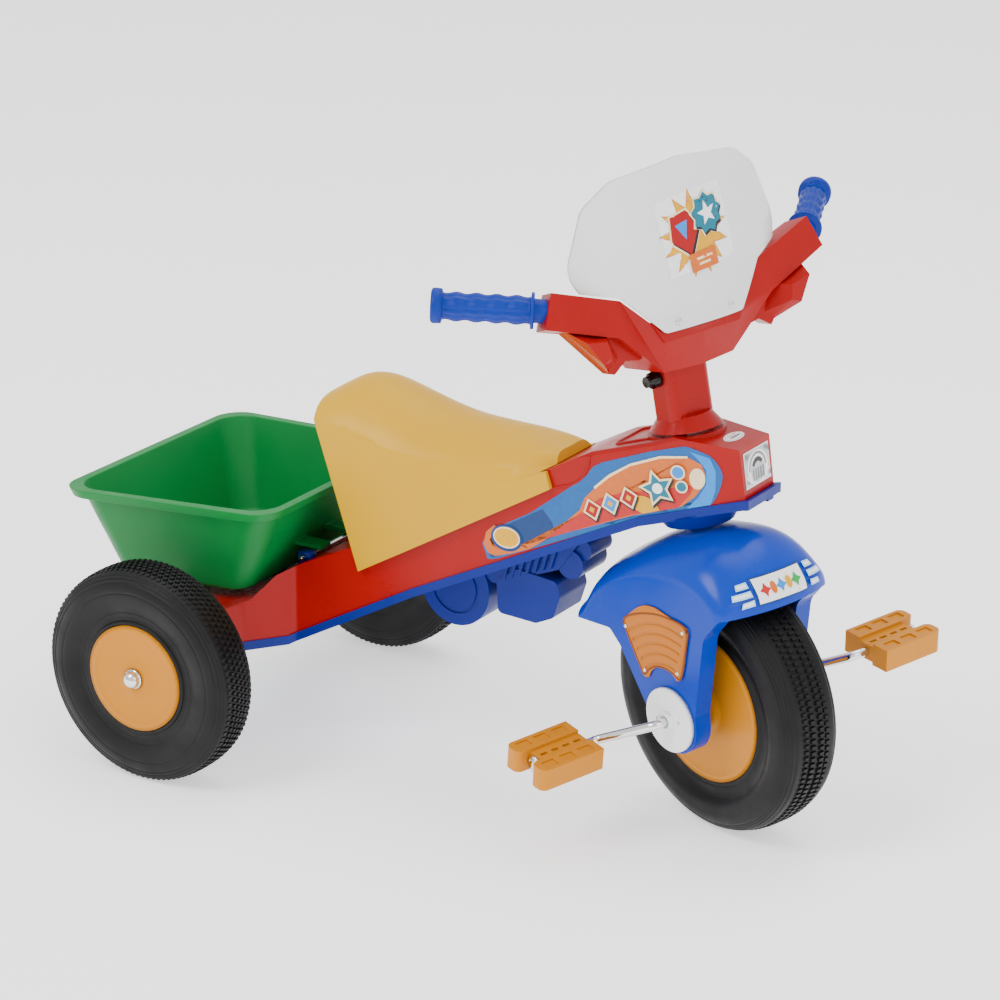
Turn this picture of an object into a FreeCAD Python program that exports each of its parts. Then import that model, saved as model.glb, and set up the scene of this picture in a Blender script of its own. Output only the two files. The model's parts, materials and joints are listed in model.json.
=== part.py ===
import FreeCAD, Part
import math
import os
from FreeCAD import Placement, Rotation, Vector

# Children's tricycle with a tipping rear bucket.  Millimetres.
#
# Everything is laid out in a drawing frame whose X runs forward from the rear
# axle, Y to the rider's left and Z up from the ground.  The front assembly is
# drawn in its own upright frame: origin at the front wheel's centre and Z along
# the steering axis.  place_front() leans and steers it into the drawing frame.
# At the end all pieces are moved so that the origin is the centre of the
# footprint box, on the ground.

# ---------------------------------------------------------------- driving sizes
WHEELBASE = 513.5
REAR_TRACK = 402.0            # between the mid-planes of the rear wheels
REAR_WHEEL_R = 107.0
FRONT_WHEEL_R = 125.0
FRONT_CENTRE_Z = 125.4        # the steered wheel leans a little, so it stands on its shoulder
RAKE = 10.9                   # steering axis leans back, degrees
REST_STEER = -20.0            # the bars rest turned to the rider's right
CRANK_ANGLE = 13.9            # right pedal is behind and below the axle
CRANK_RADIUS = 55.5
BODY_WALL = 2.5
RUNNING = 0.05                # radial clearance of every turning fit

# rear axle
AXLE_R = 5.0
AXLE_Z = REAR_WHEEL_R
REAR_HUB_R = 52.5
REAR_HUB_HALF = 26.0
CAP_NUT_R = 8.0

# front wheel, fork and cranks
FRONT_HUB_R = 73.0
FRONT_HUB_HALF = 29.0
CRANK_ROD_R = 4.5
FORK_OUTER = 66.0             # outside face of a fork leg
FORK_WALL = 3.5
DISC_R = 31.0                 # white bearing discs on the fork legs
DISC_OUTER = 71.4
PEDAL_MIDDLE = 165.0
PEDAL_LENGTH = 71.0
PEDAL_WIDTH = 56.0
PEDAL_HEIGHT = 22.0
PEDAL_NOTCH = 14.0            # depth of the notch between the bars at the outer end

# steering head
STEERER_R = 11.0
BUSH_R = 16.0
HEAD_BOTTOM = 172.0
HEAD_TOP = 262.0
CROWN_Z = 168.0
CROWN_BOSS = 10.0             # depth of the flat boss inside the mudguard's crown

# bucket
BUCKET_PITCH = 3.0
HINGE_X = -42.0
HINGE_Z = 150.0
HINGE_ROD_R = 3.0
REST_ROD_R = 2.5
REST_ROD_X = 76.0
REST_ROD_Z = 190.5

NODES = {}


# ---------------------------------------------------------------- small helpers
def add(name, *solids):
    """Keep one node; several solids make a group."""
    NODES[name] = solids[0] if len(solids) == 1 else Part.makeCompound(list(solids))


def box(low, high):
    size = [b - a for a, b in zip(low, high)]
    return Part.makeBox(size[0], size[1], size[2], Vector(*low))


def rod(radius, start, end):
    """A round bar from one point to another."""
    start, end = Vector(*start), Vector(*end)
    return Part.makeCylinder(radius, (end - start).Length, start, end - start)


def ring(outer, inner, start, end):
    return rod(outer, start, end).cut(rod(inner, start, end))


def face_of(points):
    corners = [Vector(*p) for p in points]
    return Part.Face(Part.makePolygon(corners + corners[:1]))


def prism_y(outline, low, high):
    """Extrude an (x, z) outline across the vehicle."""
    face = face_of([(x, low, z) for x, z in outline])
    return face.extrude(Vector(0, high - low, 0))


def prism_x(outline, low, high):
    """Extrude a (y, z) outline along the vehicle."""
    face = face_of([(low, y, z) for y, z in outline])
    return face.extrude(Vector(high - low, 0, 0))


def prism_z(outline, low, high):
    face = face_of([(x, y, low) for x, y in outline])
    return face.extrude(Vector(0, 0, high - low))


def mirrored(shape):
    """The same piece on the other side of the vehicle."""
    return shape.mirror(Vector(0, 0, 0), Vector(0, 1, 0))


def turned(shape, centre, axis, degrees):
    copy = shape.copy()
    copy.rotate(Vector(*centre), Vector(*axis), degrees)
    return copy


def moved(shape, offset):
    copy = shape.copy()
    copy.translate(Vector(*offset))
    return copy


def fuse_all(shapes):
    result = shapes[0].multiFuse(list(shapes[1:]))
    return result.removeSplitter()


def along(edge, direction):
    """True for a straight edge that runs along the given direction."""
    if edge.Curve.TypeId != "Part::GeomLine":
        return False
    step = edge.Vertexes[-1].Point - edge.Vertexes[0].Point
    return step.normalize().cross(Vector(*direction)).Length < 1e-3


def rounded_polygon(points, radii):
    """A closed wire of straight runs and tangent arcs through 3-D corner points."""
    corners = [Vector(*p) for p in points]
    count = len(corners)
    starts, ends, mids = [], [], []
    for i, corner in enumerate(corners):
        back = (corners[i - 1] - corner).normalize()
        ahead = (corners[(i + 1) % count] - corner).normalize()
        half = back.getAngle(ahead) / 2
        reach = radii[i] / math.tan(half)
        outward = (back + ahead).normalize() * -1
        starts.append(corner + back * reach)
        ends.append(corner + ahead * reach)
        mids.append(corner - outward * (radii[i] / math.sin(half) - radii[i]))
    edges = []
    for i in range(count):
        if radii[i] > 0:
            edges.append(Part.Arc(starts[i], mids[i], ends[i]).toShape())
        edges.append(Part.LineSegment(ends[i], starts[(i + 1) % count]).toShape())
    return Part.Wire(edges)


def bent_path(points, radius):
    """An open wire of straight runs joined by tangent arcs."""
    corners = [Vector(*p) for p in points]
    edges = []
    last = corners[0]
    for i in range(1, len(corners) - 1):
        corner = corners[i]
        back = (corners[i - 1] - corner).normalize()
        ahead = (corners[i + 1] - corner).normalize()
        half = back.getAngle(ahead) / 2
        reach = radius / math.tan(half)
        centre = corner + (back + ahead).normalize() * (radius / math.sin(half))
        start, end = corner + back * reach, corner + ahead * reach
        middle = centre + (corner - centre).normalize() * radius
        edges.append(Part.LineSegment(last, start).toShape())
        edges.append(Part.Arc(start, middle, end).toShape())
        last = end
    edges.append(Part.LineSegment(last, corners[-1]).toShape())
    return Part.Wire(edges)


def bent_bar(points, bend, radius):
    """A round bar of the given radius along a bent path."""
    path = bent_path(points, bend)
    start = Vector(*points[0])
    circle = Part.Circle(start, Vector(*points[1]) - start, radius).toShape()
    return path.makePipeShell([Part.Wire(circle)], True, True)


def facets(a, b, c, d):
    """One flat face through four corners, or two triangles where they are not flat."""
    normal = (b - a).cross(c - a).normalize()
    if abs(normal.dot(d - a)) < 1e-5:
        return [face_of([a, b, c, d])]
    return [face_of([a, b, c]), face_of([a, c, d])]


def facet_solid(sections):
    """A closed solid through four-cornered sections, in flat faces only."""
    faces = facets(*sections[0]) + facets(*sections[-1])
    for near, far in zip(sections, sections[1:]):
        for i in range(4):
            j = (i + 1) % 4
            faces += facets(near[i], near[j], far[j], far[i])
    solid = Part.Solid(Part.Shell(faces))
    if solid.Volume < 0:
        solid.reverse()
    return solid


def turned_about_y(profile, centre):
    """Revolve a (y, radius) outline about the vehicle's cross axis."""
    points = [(centre[0], centre[1] + y, centre[2] + r) for y, r in profile]
    return face_of(points).revolve(Vector(*centre), Vector(0, 1, 0), 360)


def place_front(shape):
    """Steer and lean a piece drawn in the fork frame into the drawing frame."""
    copy = shape.copy()
    copy.rotate(Vector(0, 0, 0), Vector(0, 0, 1), REST_STEER)
    copy.rotate(Vector(0, 0, 0), Vector(0, 1, 0), -RAKE)
    copy.translate(Vector(WHEELBASE, 0, FRONT_CENTRE_Z))
    return copy


def lean_head(shape):
    """Lean a piece of the fixed head, drawn in the fork frame, without steering it."""
    copy = shape.copy()
    copy.rotate(Vector(0, 0, 0), Vector(0, 1, 0), -RAKE)
    copy.translate(Vector(WHEELBASE, 0, FRONT_CENTRE_Z))
    return copy


# ---------------------------------------------------------------- chassis
# half-widths of the body along X, from the tail to the nose
PLAN = [(-48, 150), (30, 150), (40, 104), (72, 62), (100, 60), (300, 52), (452, 41), (541, 27)]
PARTING = [(-48, 111), (68, 112), (203, 186), (441, 302), (541, 333)]
DECK = [(534, 379), (470, 382), (449, 374), (390, 355), (135, 214), (80, 188), (60, 176),
        (44, 154), (20, 149), (-48, 143)]
TRAY_REACH = 31.0             # the tray's front edge ahead of the steering axis
LIP_DEPTH = 9.0
LIP_PROUD = 2.0


def plan_prism(grow, low, high):
    """The body's outline seen from above, grown sideways and at both ends."""
    side = [(x, y + grow) for x, y in PLAN]
    side[0] = (side[0][0] - grow, side[0][1])
    side[-1] = (side[-1][0] + grow, side[-1][1])
    outline = side + [(x, -y) for x, y in reversed(side)]
    solid = prism_z(outline, low, high)
    upright = [e for e in solid.Edges if along(e, (0, 0, 1))]
    corners = [e for e in upright if e.Vertexes[0].Point.x < 90]
    return solid.makeFillet(10, corners)


def body_block(grow, top_shift, parting_shift, plan_grow):
    """The closed block between the parting line and the deck."""
    lower = [(x, z + parting_shift) for x, z in PARTING]
    upper = [(x, z + top_shift) for x, z in DECK]
    lower[0] = (lower[0][0] - grow, lower[0][1])
    upper[-1] = (upper[-1][0] - grow, upper[-1][1])
    lower[-1] = (lower[-1][0] + grow, lower[-1][1])
    upper[0] = (upper[0][0] + grow, upper[0][1])
    side = prism_y(lower + upper, -200, 200)
    return side.common(plan_prism(plan_grow, 60, 450))


def chassis_upper_shell():
    outer = body_block(0, 0, 0, 0)
    top_edges = [e for e in outer.Edges
                 if not along(e, (0, 0, 1)) and e.BoundBox.ZMin > deck_height(e.CenterOfMass.x) - 1
                 and e.CenterOfMass.x > 85 and abs(e.CenterOfMass.y) > 5]
    outer = outer.makeFillet(4, top_edges)
    inner = body_block(-BODY_WALL, -BODY_WALL, -20, -BODY_WALL)
    shell = outer.cut(inner)
    collar = lean_head(rod(36, (0, 0, 232), (0, 0, HEAD_TOP - 4)))
    collar = collar.cut(body_block(-1, -1, 0, -1))
    bore = lean_head(rod(BUSH_R, (0, 0, 200), (0, 0, 300)))
    recess = lean_head(rod(24.6, (0, 0, HEAD_TOP - 4), (0, 0, 300)))
    axle_slot = rod(AXLE_R + 0.1, (0, -160, AXLE_Z), (0, 160, AXLE_Z))
    return fuse_all([shell, collar]).cut(bore).cut(recess).cut(axle_slot)


def deck_height(x):
    """Height of the deck's top line at a place along the body."""
    line = sorted(DECK)
    for (x0, z0), (x1, z1) in zip(line, line[1:]):
        if x0 <= x <= x1:
            return z0 + (z1 - z0) * (x - x0) / (x1 - x0)
    return line[-1][1]


def tray_block(grow, top, bottom):
    upper = [(x, z + top) for x, z in PARTING]
    lower = [(x, z + bottom) for x, z in PARTING]
    upper[0] = (upper[0][0] - grow, upper[0][1])
    lower[0] = (lower[0][0] - grow, lower[0][1])
    front = WHEELBASE + TRAY_REACH
    upper.append((front + grow, upper[-1][1] + (front - upper[-1][0]) * 0.31))
    lower.append((front + grow, lower[-1][1] + (front - lower[-1][0]) * 0.31))
    side = prism_y(upper + list(reversed(lower)), -200, 200)
    plan = plan_prism(grow, 60, 450)
    nose = box((530, -29 - grow, 250), (front + grow, 29 + grow, 400))
    return side.common(fuse_all([plan, nose]))


def chassis_lower_shell():
    outer = tray_block(LIP_PROUD, 0, -LIP_DEPTH)
    inner = tray_block(-BODY_WALL, 5, -LIP_DEPTH + BODY_WALL)
    housing = rod(14, (0, -150, AXLE_Z), (0, 150, AXLE_Z))
    boss = lean_head(Part.makeCone(32, 41, 13, Vector(0, 0, HEAD_BOTTOM)))
    boss = fuse_all([boss, lean_head(rod(41, (0, 0, HEAD_BOTTOM + 13), (0, 0, 200)))])
    boss = boss.cut(tray_block(60, 120, -LIP_DEPTH + 1))
    boss = fuse_all([boss, lean_head(rod(22, (0, 0, HEAD_BOTTOM + 2), (0, 0, 200)))])
    tab = box((533, 15, 319), (542, 26, 328))
    tray = outer.cut(inner)
    above = body_block(2, 60, 0, 2)
    tray = fuse_all([tray, housing.cut(above), boss.cut(above), tab.cut(inner)])
    tray = tray.cut(lean_head(rod(BUSH_R, (0, 0, 150), (0, 0, 260))))
    return tray.cut(rod(AXLE_R + 0.1, (0, -160, AXLE_Z), (0, 160, AXLE_Z)))


# ---------------------------------------------------------------- engine moulding
ENGINE_HALF = 25.0
CRANKCASE = (232, 183, 38)                    # x, z, radius
GEARBOX = [(280, 168), (322, 166), (341, 175), (348, 197), (344, 212), (300, 216), (278, 200)]
CYLINDER_BLOCK = [(272, 196), (278, 196), (345, 224), (372, 262), (250, 210)]
FIN_COUNT = 7


def engine_bodies(shrink):
    """The round crankcase, gearbox, cylinder and its two end caps."""
    half = ENGINE_HALF - shrink
    x, z, radius = CRANKCASE
    blocks = [rod(radius - shrink, (x, -half, z), (x, half, z))]
    outline = Part.Face(rounded_polygon([(a, -half, b) for a, b in GEARBOX], [6] * 7))
    gearbox = outline.extrude(Vector(0, 2 * half, 0))
    if shrink:
        gearbox = Part.Face(rounded_polygon([(a, -half, b) for a, b in GEARBOX], [6] * 7))
        gearbox = gearbox.makeOffset2D(-shrink).extrude(Vector(0, 2 * half, 0))
    blocks.append(gearbox)
    blocks.append(prism_y(CYLINDER_BLOCK, -half + 2, half - 2))
    blocks.append(rod(14 - shrink, (357, -half + 3, 231), (357, half - 3, 231)))
    blocks.append(rod(10 - shrink, (368, -half + 6, 247), (368, half - 6, 247)))
    return blocks


def engine_moulding():
    outer = fuse_all(engine_bodies(0))
    fins = []
    for i in range(FIN_COUNT):
        x = 284 + 8.5 * i
        z = 201 + 3.7 * i
        slope = [(x, z), (x + 3.4, z + 1.5), (x + 13, z + 33), (x + 9.6, z + 33)]
        fins.append(prism_y(slope, -ENGINE_HALF - 1, ENGINE_HALF + 1))
    outer = fuse_all([outer] + fins)
    ring_cut = ring(26, 23, (CRANKCASE[0], -60, CRANKCASE[1]), (CRANKCASE[0], -ENGINE_HALF + 1.5,
                                                                 CRANKCASE[1]))
    outer = outer.cut(ring_cut).cut(mirrored(ring_cut))
    inner = fuse_all(engine_bodies(BODY_WALL))
    shell = outer.cut(inner)
    above = tray_block(LIP_PROUD, 80, -LIP_DEPTH)
    return shell.cut(above)


# ---------------------------------------------------------------- seat
SEAT_LEAN = 19.3              # the seat's end faces are square to a line this steep
SEAT_WALL = 3.0
# along the lean: distance, half-widths at hem, cheek and crease, heights of hem, cheek,
# crease and top, and how full the saddle's shoulders are (0.4 is round, 0.8 is boxy)
SEAT_STATIONS = [
    (202, 63.5, 63, 62.5, 134.4, 210, 286, 305, 0.62),
    (222, 64.5, 63.8, 63, 138.4, 209, 279, 309.5, 0.52),
    (240, 65, 64.3, 63.5, 141.9, 206, 268, 309, 0.46),
    (266, 65, 64.2, 63.5, 146.9, 200, 252, 297.5, 0.42),
    (304, 63, 62.2, 61.5, 154.3, 196, 235, 271, 0.40),
    (345, 60.5, 59.8, 58.5, 162.2, 193, 220, 249, 0.42),
    (385, 58, 57.2, 54.5, 170, 193, 210, 232.5, 0.46),
    (414, 55.5, 54.8, 44, 175.6, 195, 203, 219, 0.60),
    (437, 54, 53.2, 31, 180.2, 196.5, 198.6, 207.5, 0.80),
]


def seat_section(along_lean, hem, cheek, half, bottom, cheek_top, crease, top, full):
    """One closed outline: flat sides with a domed saddle over them."""
    lean = math.radians(SEAT_LEAN)

    def place(y, up):
        x = along_lean * math.cos(lean) - up * math.sin(lean)
        z = along_lean * math.sin(lean) + up * math.cos(lean)
        return Vector(x, y, z)

    shoulder = crease + full * (top - crease)
    dome = Part.BSplineCurve()
    dome.interpolate([place(half, crease), place(0.78 * half, shoulder), place(0, top),
                      place(-0.78 * half, shoulder), place(-half, crease)])
    edges = [Part.LineSegment(place(-hem, bottom), place(hem, bottom)).toShape(),
             Part.LineSegment(place(hem, bottom), place(cheek, cheek_top)).toShape(),
             Part.LineSegment(place(cheek, cheek_top), place(half, crease)).toShape(),
             dome.toShape(),
             Part.LineSegment(place(-half, crease), place(-cheek, cheek_top)).toShape(),
             Part.LineSegment(place(-cheek, cheek_top), place(-hem, bottom)).toShape()]
    return Part.Wire(edges)


def seat():
    outer = Part.makeLoft([seat_section(*row) for row in SEAT_STATIONS], True, False)
    hollow = []
    for i, (s, hem, cheek, half, low, side, crease, top, full) in enumerate(SEAT_STATIONS):
        shift = SEAT_WALL if i == 0 else -SEAT_WALL if i == len(SEAT_STATIONS) - 1 else 0
        hollow.append((s + shift, hem - SEAT_WALL, cheek - SEAT_WALL, half - SEAT_WALL,
                       low - 30, side - SEAT_WALL, crease - SEAT_WALL, top - SEAT_WALL, full))
    inner = Part.makeLoft([seat_section(*row) for row in hollow], True, False)
    saddle = outer.cut(inner)
    return saddle.cut(body_block(0.6, 0.6, -40, 0.6))


# ---------------------------------------------------------------- rear axle
def axle_cap_nut():
    """A domed push nut on the right-hand end of the axle."""
    face = -(REAR_TRACK / 2 + REAR_HUB_HALF + 0.5)
    washer = rod(CAP_NUT_R + 1.5, (0, face, AXLE_Z), (0, face - 1.2, AXLE_Z))
    barrel = rod(CAP_NUT_R, (0, face - 1.2, AXLE_Z), (0, face - 4, AXLE_Z))
    dome = Part.makeSphere(CAP_NUT_R + 1, Vector(0, face - 1.3, AXLE_Z))
    dome = dome.common(rod(CAP_NUT_R, (0, face - 4, AXLE_Z), (0, face - 12, AXLE_Z)))
    nut = fuse_all([washer, barrel, dome])
    return nut.cut(rod(AXLE_R + 0.01, (0, 0, AXLE_Z), (0, face - 6, AXLE_Z)))


def axle_parts():
    end = REAR_TRACK / 2 + REAR_HUB_HALF + 6
    add("rear_axle", rod(AXLE_R, (0, -end, AXLE_Z), (0, end, AXLE_Z)))
    inner_face = REAR_TRACK / 2 - REAR_HUB_HALF - 0.5
    spacer = ring(9, AXLE_R + 0.1, (0, -152.1, AXLE_Z), (0, -inner_face, AXLE_Z))
    add("axle_spacers", spacer, mirrored(spacer))
    nut = axle_cap_nut()
    add("axle_cap_nuts", nut, mirrored(nut))


# ---------------------------------------------------------------- wheels
def tyre_outline(outer_r, bead_r, bead_half, bulge, shoulder, tread):
    """Half outline of a hollow tyre, bead to crown, as (y, radius)."""
    side = outer_r - bead_r
    return [(bead_half - 5, bead_r), (bead_half, bead_r),
            (bead_half, bead_r + 0.07 * side), (bead_half - 2.5, bead_r + 0.16 * side),
            (bead_half - 1.5, bead_r + 0.26 * side), (bulge - 1, bead_r + 0.42 * side),
            (bulge, bead_r + 0.56 * side), (bulge - 1, bead_r + 0.70 * side),
            (shoulder, bead_r + 0.86 * side), (tread, bead_r + 0.955 * side),
            (0.45 * tread, outer_r)]


def tyre(centre, outer_r, bead_r, bead_half, bulge, shoulder, tread):
    skin = 4.0
    outer = tyre_outline(outer_r, bead_r, bead_half, bulge, shoulder, tread)
    closed = outer + [(-y, r) for y, r in reversed(outer)]
    solid = turned_about_y(closed, centre)
    inner = tyre_outline(outer_r - skin, bead_r - 2, bead_half - 4, bulge - skin,
                         shoulder - skin, tread - 1)
    closed = inner + [(-y, r) for y, r in reversed(inner)]
    closed = [(bead_half - 5, bead_r - 2)] + closed[2:-2] + [(-bead_half + 5, bead_r - 2)]
    return solid.cut(turned_about_y(closed, centre))


def hub_half(centre, side, radius, half, boss_r, boss_half, bore):
    """A moulded cup: dished disc, rim flange and centre boss, open towards the middle."""
    wall = 2.5
    outline = [(0, radius - wall), (0, radius), (half, radius), (half, radius - 6),
               (half - 1.5, radius - 8), (half - 1.5, boss_r + 12), (boss_half, boss_r + 3),
               (boss_half, bore), (0, bore), (0, boss_r), (half - 6, boss_r),
               (half - 1.5 - wall, boss_r + 9), (half - 1.5 - wall, radius - wall)]
    return turned_about_y([(side * y, r) for y, r in outline], centre)


def rear_wheel(prefix, side):
    centre = (0, side * REAR_TRACK / 2, AXLE_Z)
    add(prefix + "_rear_tyre", tyre(centre, REAR_WHEEL_R, REAR_HUB_R + 0.2, 25.5, 27, 23, 18))
    for half, name in ((side, "_rear_hub_outer"), (-side, "_rear_hub_inner")):
        add(prefix + name, hub_half(centre, half, REAR_HUB_R, REAR_HUB_HALF, 11,
                                    REAR_HUB_HALF - 0.2, AXLE_R + RUNNING))


def front_wheel():
    centre = (0, 0, 0)
    parts = {"front_tyre": tyre(centre, FRONT_WHEEL_R, FRONT_HUB_R + 0.2, 29, 34, 29, 22)}
    for side, name in ((1, "front_hub_left"), (-1, "front_hub_right")):
        parts[name] = hub_half(centre, side, FRONT_HUB_R, FRONT_HUB_HALF, 14,
                               FRONT_HUB_HALF + 4, CRANK_ROD_R + 0.02)
    parts["crank_axle"] = crank_axle()
    nuts = []
    for side in (-1, 1):
        x, z = crank_pin(side)
        start = side * (PEDAL_MIDDLE + PEDAL_LENGTH / 2 - PEDAL_NOTCH + 0.6)
        nuts.append(ring(8, CRANK_ROD_R + 0.02, (x, start, z), (x, start + side * 2.5, z)))
    parts["pedal_push_nuts"] = Part.makeCompound(nuts)
    for name, shape in parts.items():
        add(name, place_front(shape))


def crank_pin(side):
    """Where a pedal's axis lies, as (x, z) in the fork frame; -1 is the right side."""
    angle = math.radians(CRANK_ANGLE)
    return side * CRANK_RADIUS * math.cos(angle), side * CRANK_RADIUS * math.sin(angle)


def crank_axle():
    right, left = crank_pin(-1), crank_pin(1)
    end = PEDAL_MIDDLE + PEDAL_LENGTH / 2 - PEDAL_NOTCH + 4.6
    knee, shoulder = 115.0, 86.0
    points = [(right[0], -end, right[1]), (right[0], -knee, right[1]), (0, -shoulder, 0),
              (0, shoulder, 0), (left[0], knee, left[1]), (left[0], end, left[1])]
    return bent_bar(points, 11, CRANK_ROD_R)


PEDAL_TILT = {-1: 19.0, 1: 14.0}   # how far each pedal has swung on its pin at rest


def pedal(side):
    """Two foot bars joined by a bored web, notched at the outer end."""
    x, z = crank_pin(side)
    half, wide, high = PEDAL_LENGTH / 2, PEDAL_WIDTH / 2, PEDAL_HEIGHT / 2
    bars = []
    for bar in (-1, 1):
        outline = [(bar * 9, -half, -high), (bar * wide, -half, -high),
                   (bar * wide, half, -high), (bar * 9, half, -high)]
        radii = [0, 0, 7, 7] if side > 0 else [7, 7, 0, 0]
        face = Part.Face(rounded_polygon(outline, radii))
        block = face.extrude(Vector(0, 0, 2 * high))
        for k in (-1, 0, 1):
            pocket = box((bar * 19 - 5, k * 21 - 7, high - 1.5), (bar * 19 + 5, k * 21 + 7, high + 1))
            block = block.cut(pocket).cut(moved(pocket, (0, 0, -2 * high + 0.5)))
        bars.append(block)
    inner_end, notch = -side * half, side * (half - PEDAL_NOTCH)
    web = box((-10, min(inner_end, notch), -8), (10, max(inner_end, notch), 8))
    solid = fuse_all(bars + [web])
    for k in range(4):
        y = side * (-half + 9 + 13 * k)
        solid = solid.cut(box((-1.6, y - 4, 3), (1.6, y + 4, 9)))
    solid = solid.cut(rod(CRANK_ROD_R + RUNNING, (0, -half - 1, 0), (0, half + 1, 0)))
    solid = turned(solid, (0, 0, 0), (0, 1, 0), PEDAL_TILT[side])
    return moved(solid, (x, side * PEDAL_MIDDLE, z))


# ---------------------------------------------------------------- fork and mudguard
# arches of the mudguard along X: place, crown height, rise of the arch above its straight sides
HOOD = [(-119, 104, 22), (-96, 128, 27), (-73, 143, 27), (-50, 153, 29), (-25, 162, 33),
        (0, 167.5, 37), (25, 168.5, 38), (46, 167.5, 39), (60, 164, 41), (74, 156, 43),
        (86, 145, 44), (96, 132, 44), (105, 112, 40)]
HOOD_ROUND = 16.0


def hood_arch(x, top, rise, shrink, low):
    """One cross-section of the mudguard: straight sides under half an ellipse."""
    half, crown, spring = FORK_OUTER - shrink, top - shrink, top - rise
    ellipse = Part.Ellipse(Vector(x, half, spring), Vector(x, 0, crown), Vector(x, 0, spring))
    return Part.Wire([
        Part.LineSegment(Vector(x, -half, low), Vector(x, half, low)).toShape(),
        Part.LineSegment(Vector(x, half, low), Vector(x, half, spring)).toShape(),
        Part.ArcOfEllipse(ellipse, 0, math.pi).toShape(),
        Part.LineSegment(Vector(x, -half, spring), Vector(x, -half, low)).toShape()])


def hood_block(shrink, low):
    """The mudguard's closed block: a loft through its arches, bowed and rounded at the front."""
    arches = []
    for i, (x, top, rise) in enumerate(HOOD):
        end = shrink if i == 0 else -shrink if i == len(HOOD) - 1 else 0
        arches.append(hood_arch(x + end, top, rise, shrink, low))
    loft = Part.makeLoft(arches, True, False)
    half = FORK_OUTER - shrink
    bow = Part.Arc(Vector(85 - shrink, -half - 5, -300), Vector(105 - shrink, 0, -300),
                   Vector(85 - shrink, half + 5, -300)).toShape()
    back = Part.makePolygon([Vector(85 - shrink, half + 5, -300), Vector(-200, half + 5, -300),
                             Vector(-200, -half - 5, -300), Vector(85 - shrink, -half - 5, -300)])
    plan = Part.Face(Part.Wire([bow] + back.Edges)).extrude(Vector(0, 0, 600))
    block = loft.common(plan)
    brow = [e for e in block.Edges if e.BoundBox.XMin > 80 and e.BoundBox.YLength > 20
            and e.BoundBox.ZMin > 60]
    return block.makeFillet(HOOD_ROUND - shrink, brow)


def leg_outline():
    """Side outline of a fork leg and the mudguard's side, closed over the top."""
    corners = [(-118, 82, 0), (-73, 78, 6), (-61, 63, 4), (-34, 6, 10), (-30, -33, 30),
               (30, -33, 30), (34, 6, 10), (62, 85, 20), (86, 104, 0), (110, 104, 0),
               (110, 190, 0), (-130, 190, 0), (-130, 82, 0)]
    return rounded_polygon([(x, -FORK_OUTER, z) for x, z, r in corners],
                           [r for x, z, r in corners])


def fork_fender():
    sides = Part.Face(leg_outline())
    block = hood_block(0, -80).common(sides.extrude(Vector(0, 2 * FORK_OUTER, 0)))
    channel = sides.makeOffset2D(-FORK_WALL).extrude(Vector(0, 2 * FORK_OUTER, 0))
    cavity = hood_block(FORK_WALL, -90)
    open_middle = cavity.common(box((-200, -48, -90), (200, 48, 200)))
    shell = block.cut(open_middle).cut(cavity.common(channel))
    boss = rod(30, (0, 0, CROWN_Z - CROWN_BOSS), (0, 0, CROWN_Z)).common(block)
    shell = fuse_all([shell, boss])
    shell = shell.cut(rod(12, (0, -80, 0), (0, 80, 0)))
    shell = shell.cut(rod(STEERER_R + 0.1, (0, 0, 150), (0, 0, 180)))
    for x, y in flange_holes():
        shell = shell.cut(rod(2.6, (x, y, 150), (x, y, CROWN_Z - 3.5)))
    return shell


def flange_holes():
    return [(19 * math.cos(math.radians(a)), 19 * math.sin(math.radians(a)))
            for a in (90, 210, 330)]


def crank_bearing(side):
    """White flanged bush: disc outside the leg, sleeve through to the wheel hub."""
    disc = rod(DISC_R, (0, side * (FORK_OUTER + 0.1), 0), (0, side * (DISC_OUTER - 1), 0))
    rim = Part.makeCone(DISC_R, DISC_R - 1.5, 1, Vector(0, side * (DISC_OUTER - 1), 0),
                        Vector(0, side, 0))
    collar = rod(9, (0, side * DISC_OUTER, 0), (0, side * (DISC_OUTER + 4), 0))
    sleeve = rod(11.9, (0, side * (FORK_OUTER + 0.1), 0), (0, side * 36, 0))
    bush = fuse_all([disc, rim, collar, sleeve])
    for x in (-15, 15):
        bush = bush.cut(rod(2.2, (x, side * (DISC_OUTER - 3), 0), (x, side * 80, 0)))
    return bush.cut(rod(CRANK_ROD_R + RUNNING, (0, side * 30, 0), (0, side * 80, 0)))


def fork_plate(side):
    """Grille plate on the fork leg: a fan with five curved slots."""
    low, high = side * (FORK_OUTER + 0.05), side * (FORK_OUTER + 1.8)
    outline = [(-50, 90, 12), (-12, 112, 40), (44, 92, 10), (22, 40, 4), (-30, 37, 4)]
    wire = rounded_polygon([(x, low, z) for x, z, r in outline], [r for x, z, r in outline])
    plate = Part.Face(wire).extrude(Vector(0, high - low, 0))
    plate = plate.cut(rod(24, (-2, low - side, 26), (-2, high + side, 26)))
    for i in range(5):
        radius = 44 + 9.5 * i
        arc = ring(radius + 1.4, radius - 1.4, (0, high - side * 0.9, 10), (0, high + side, 10))
        plate = plate.cut(arc.common(box((-26 - 4.2 * i, -100, 20), (18 + 4.5 * i, 100, 105))))
    return plate


FORK_RIVETS = [(-46, 84), (36, 88), (20, 47), (-27, 44)]


def fork_plate_rivet(side, x, z):
    start = side * (FORK_OUTER + 1.8)
    head = Part.makeCone(2.2, 1.4, 1.0, Vector(x, start, z), Vector(0, side, 0))
    return head


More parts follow.
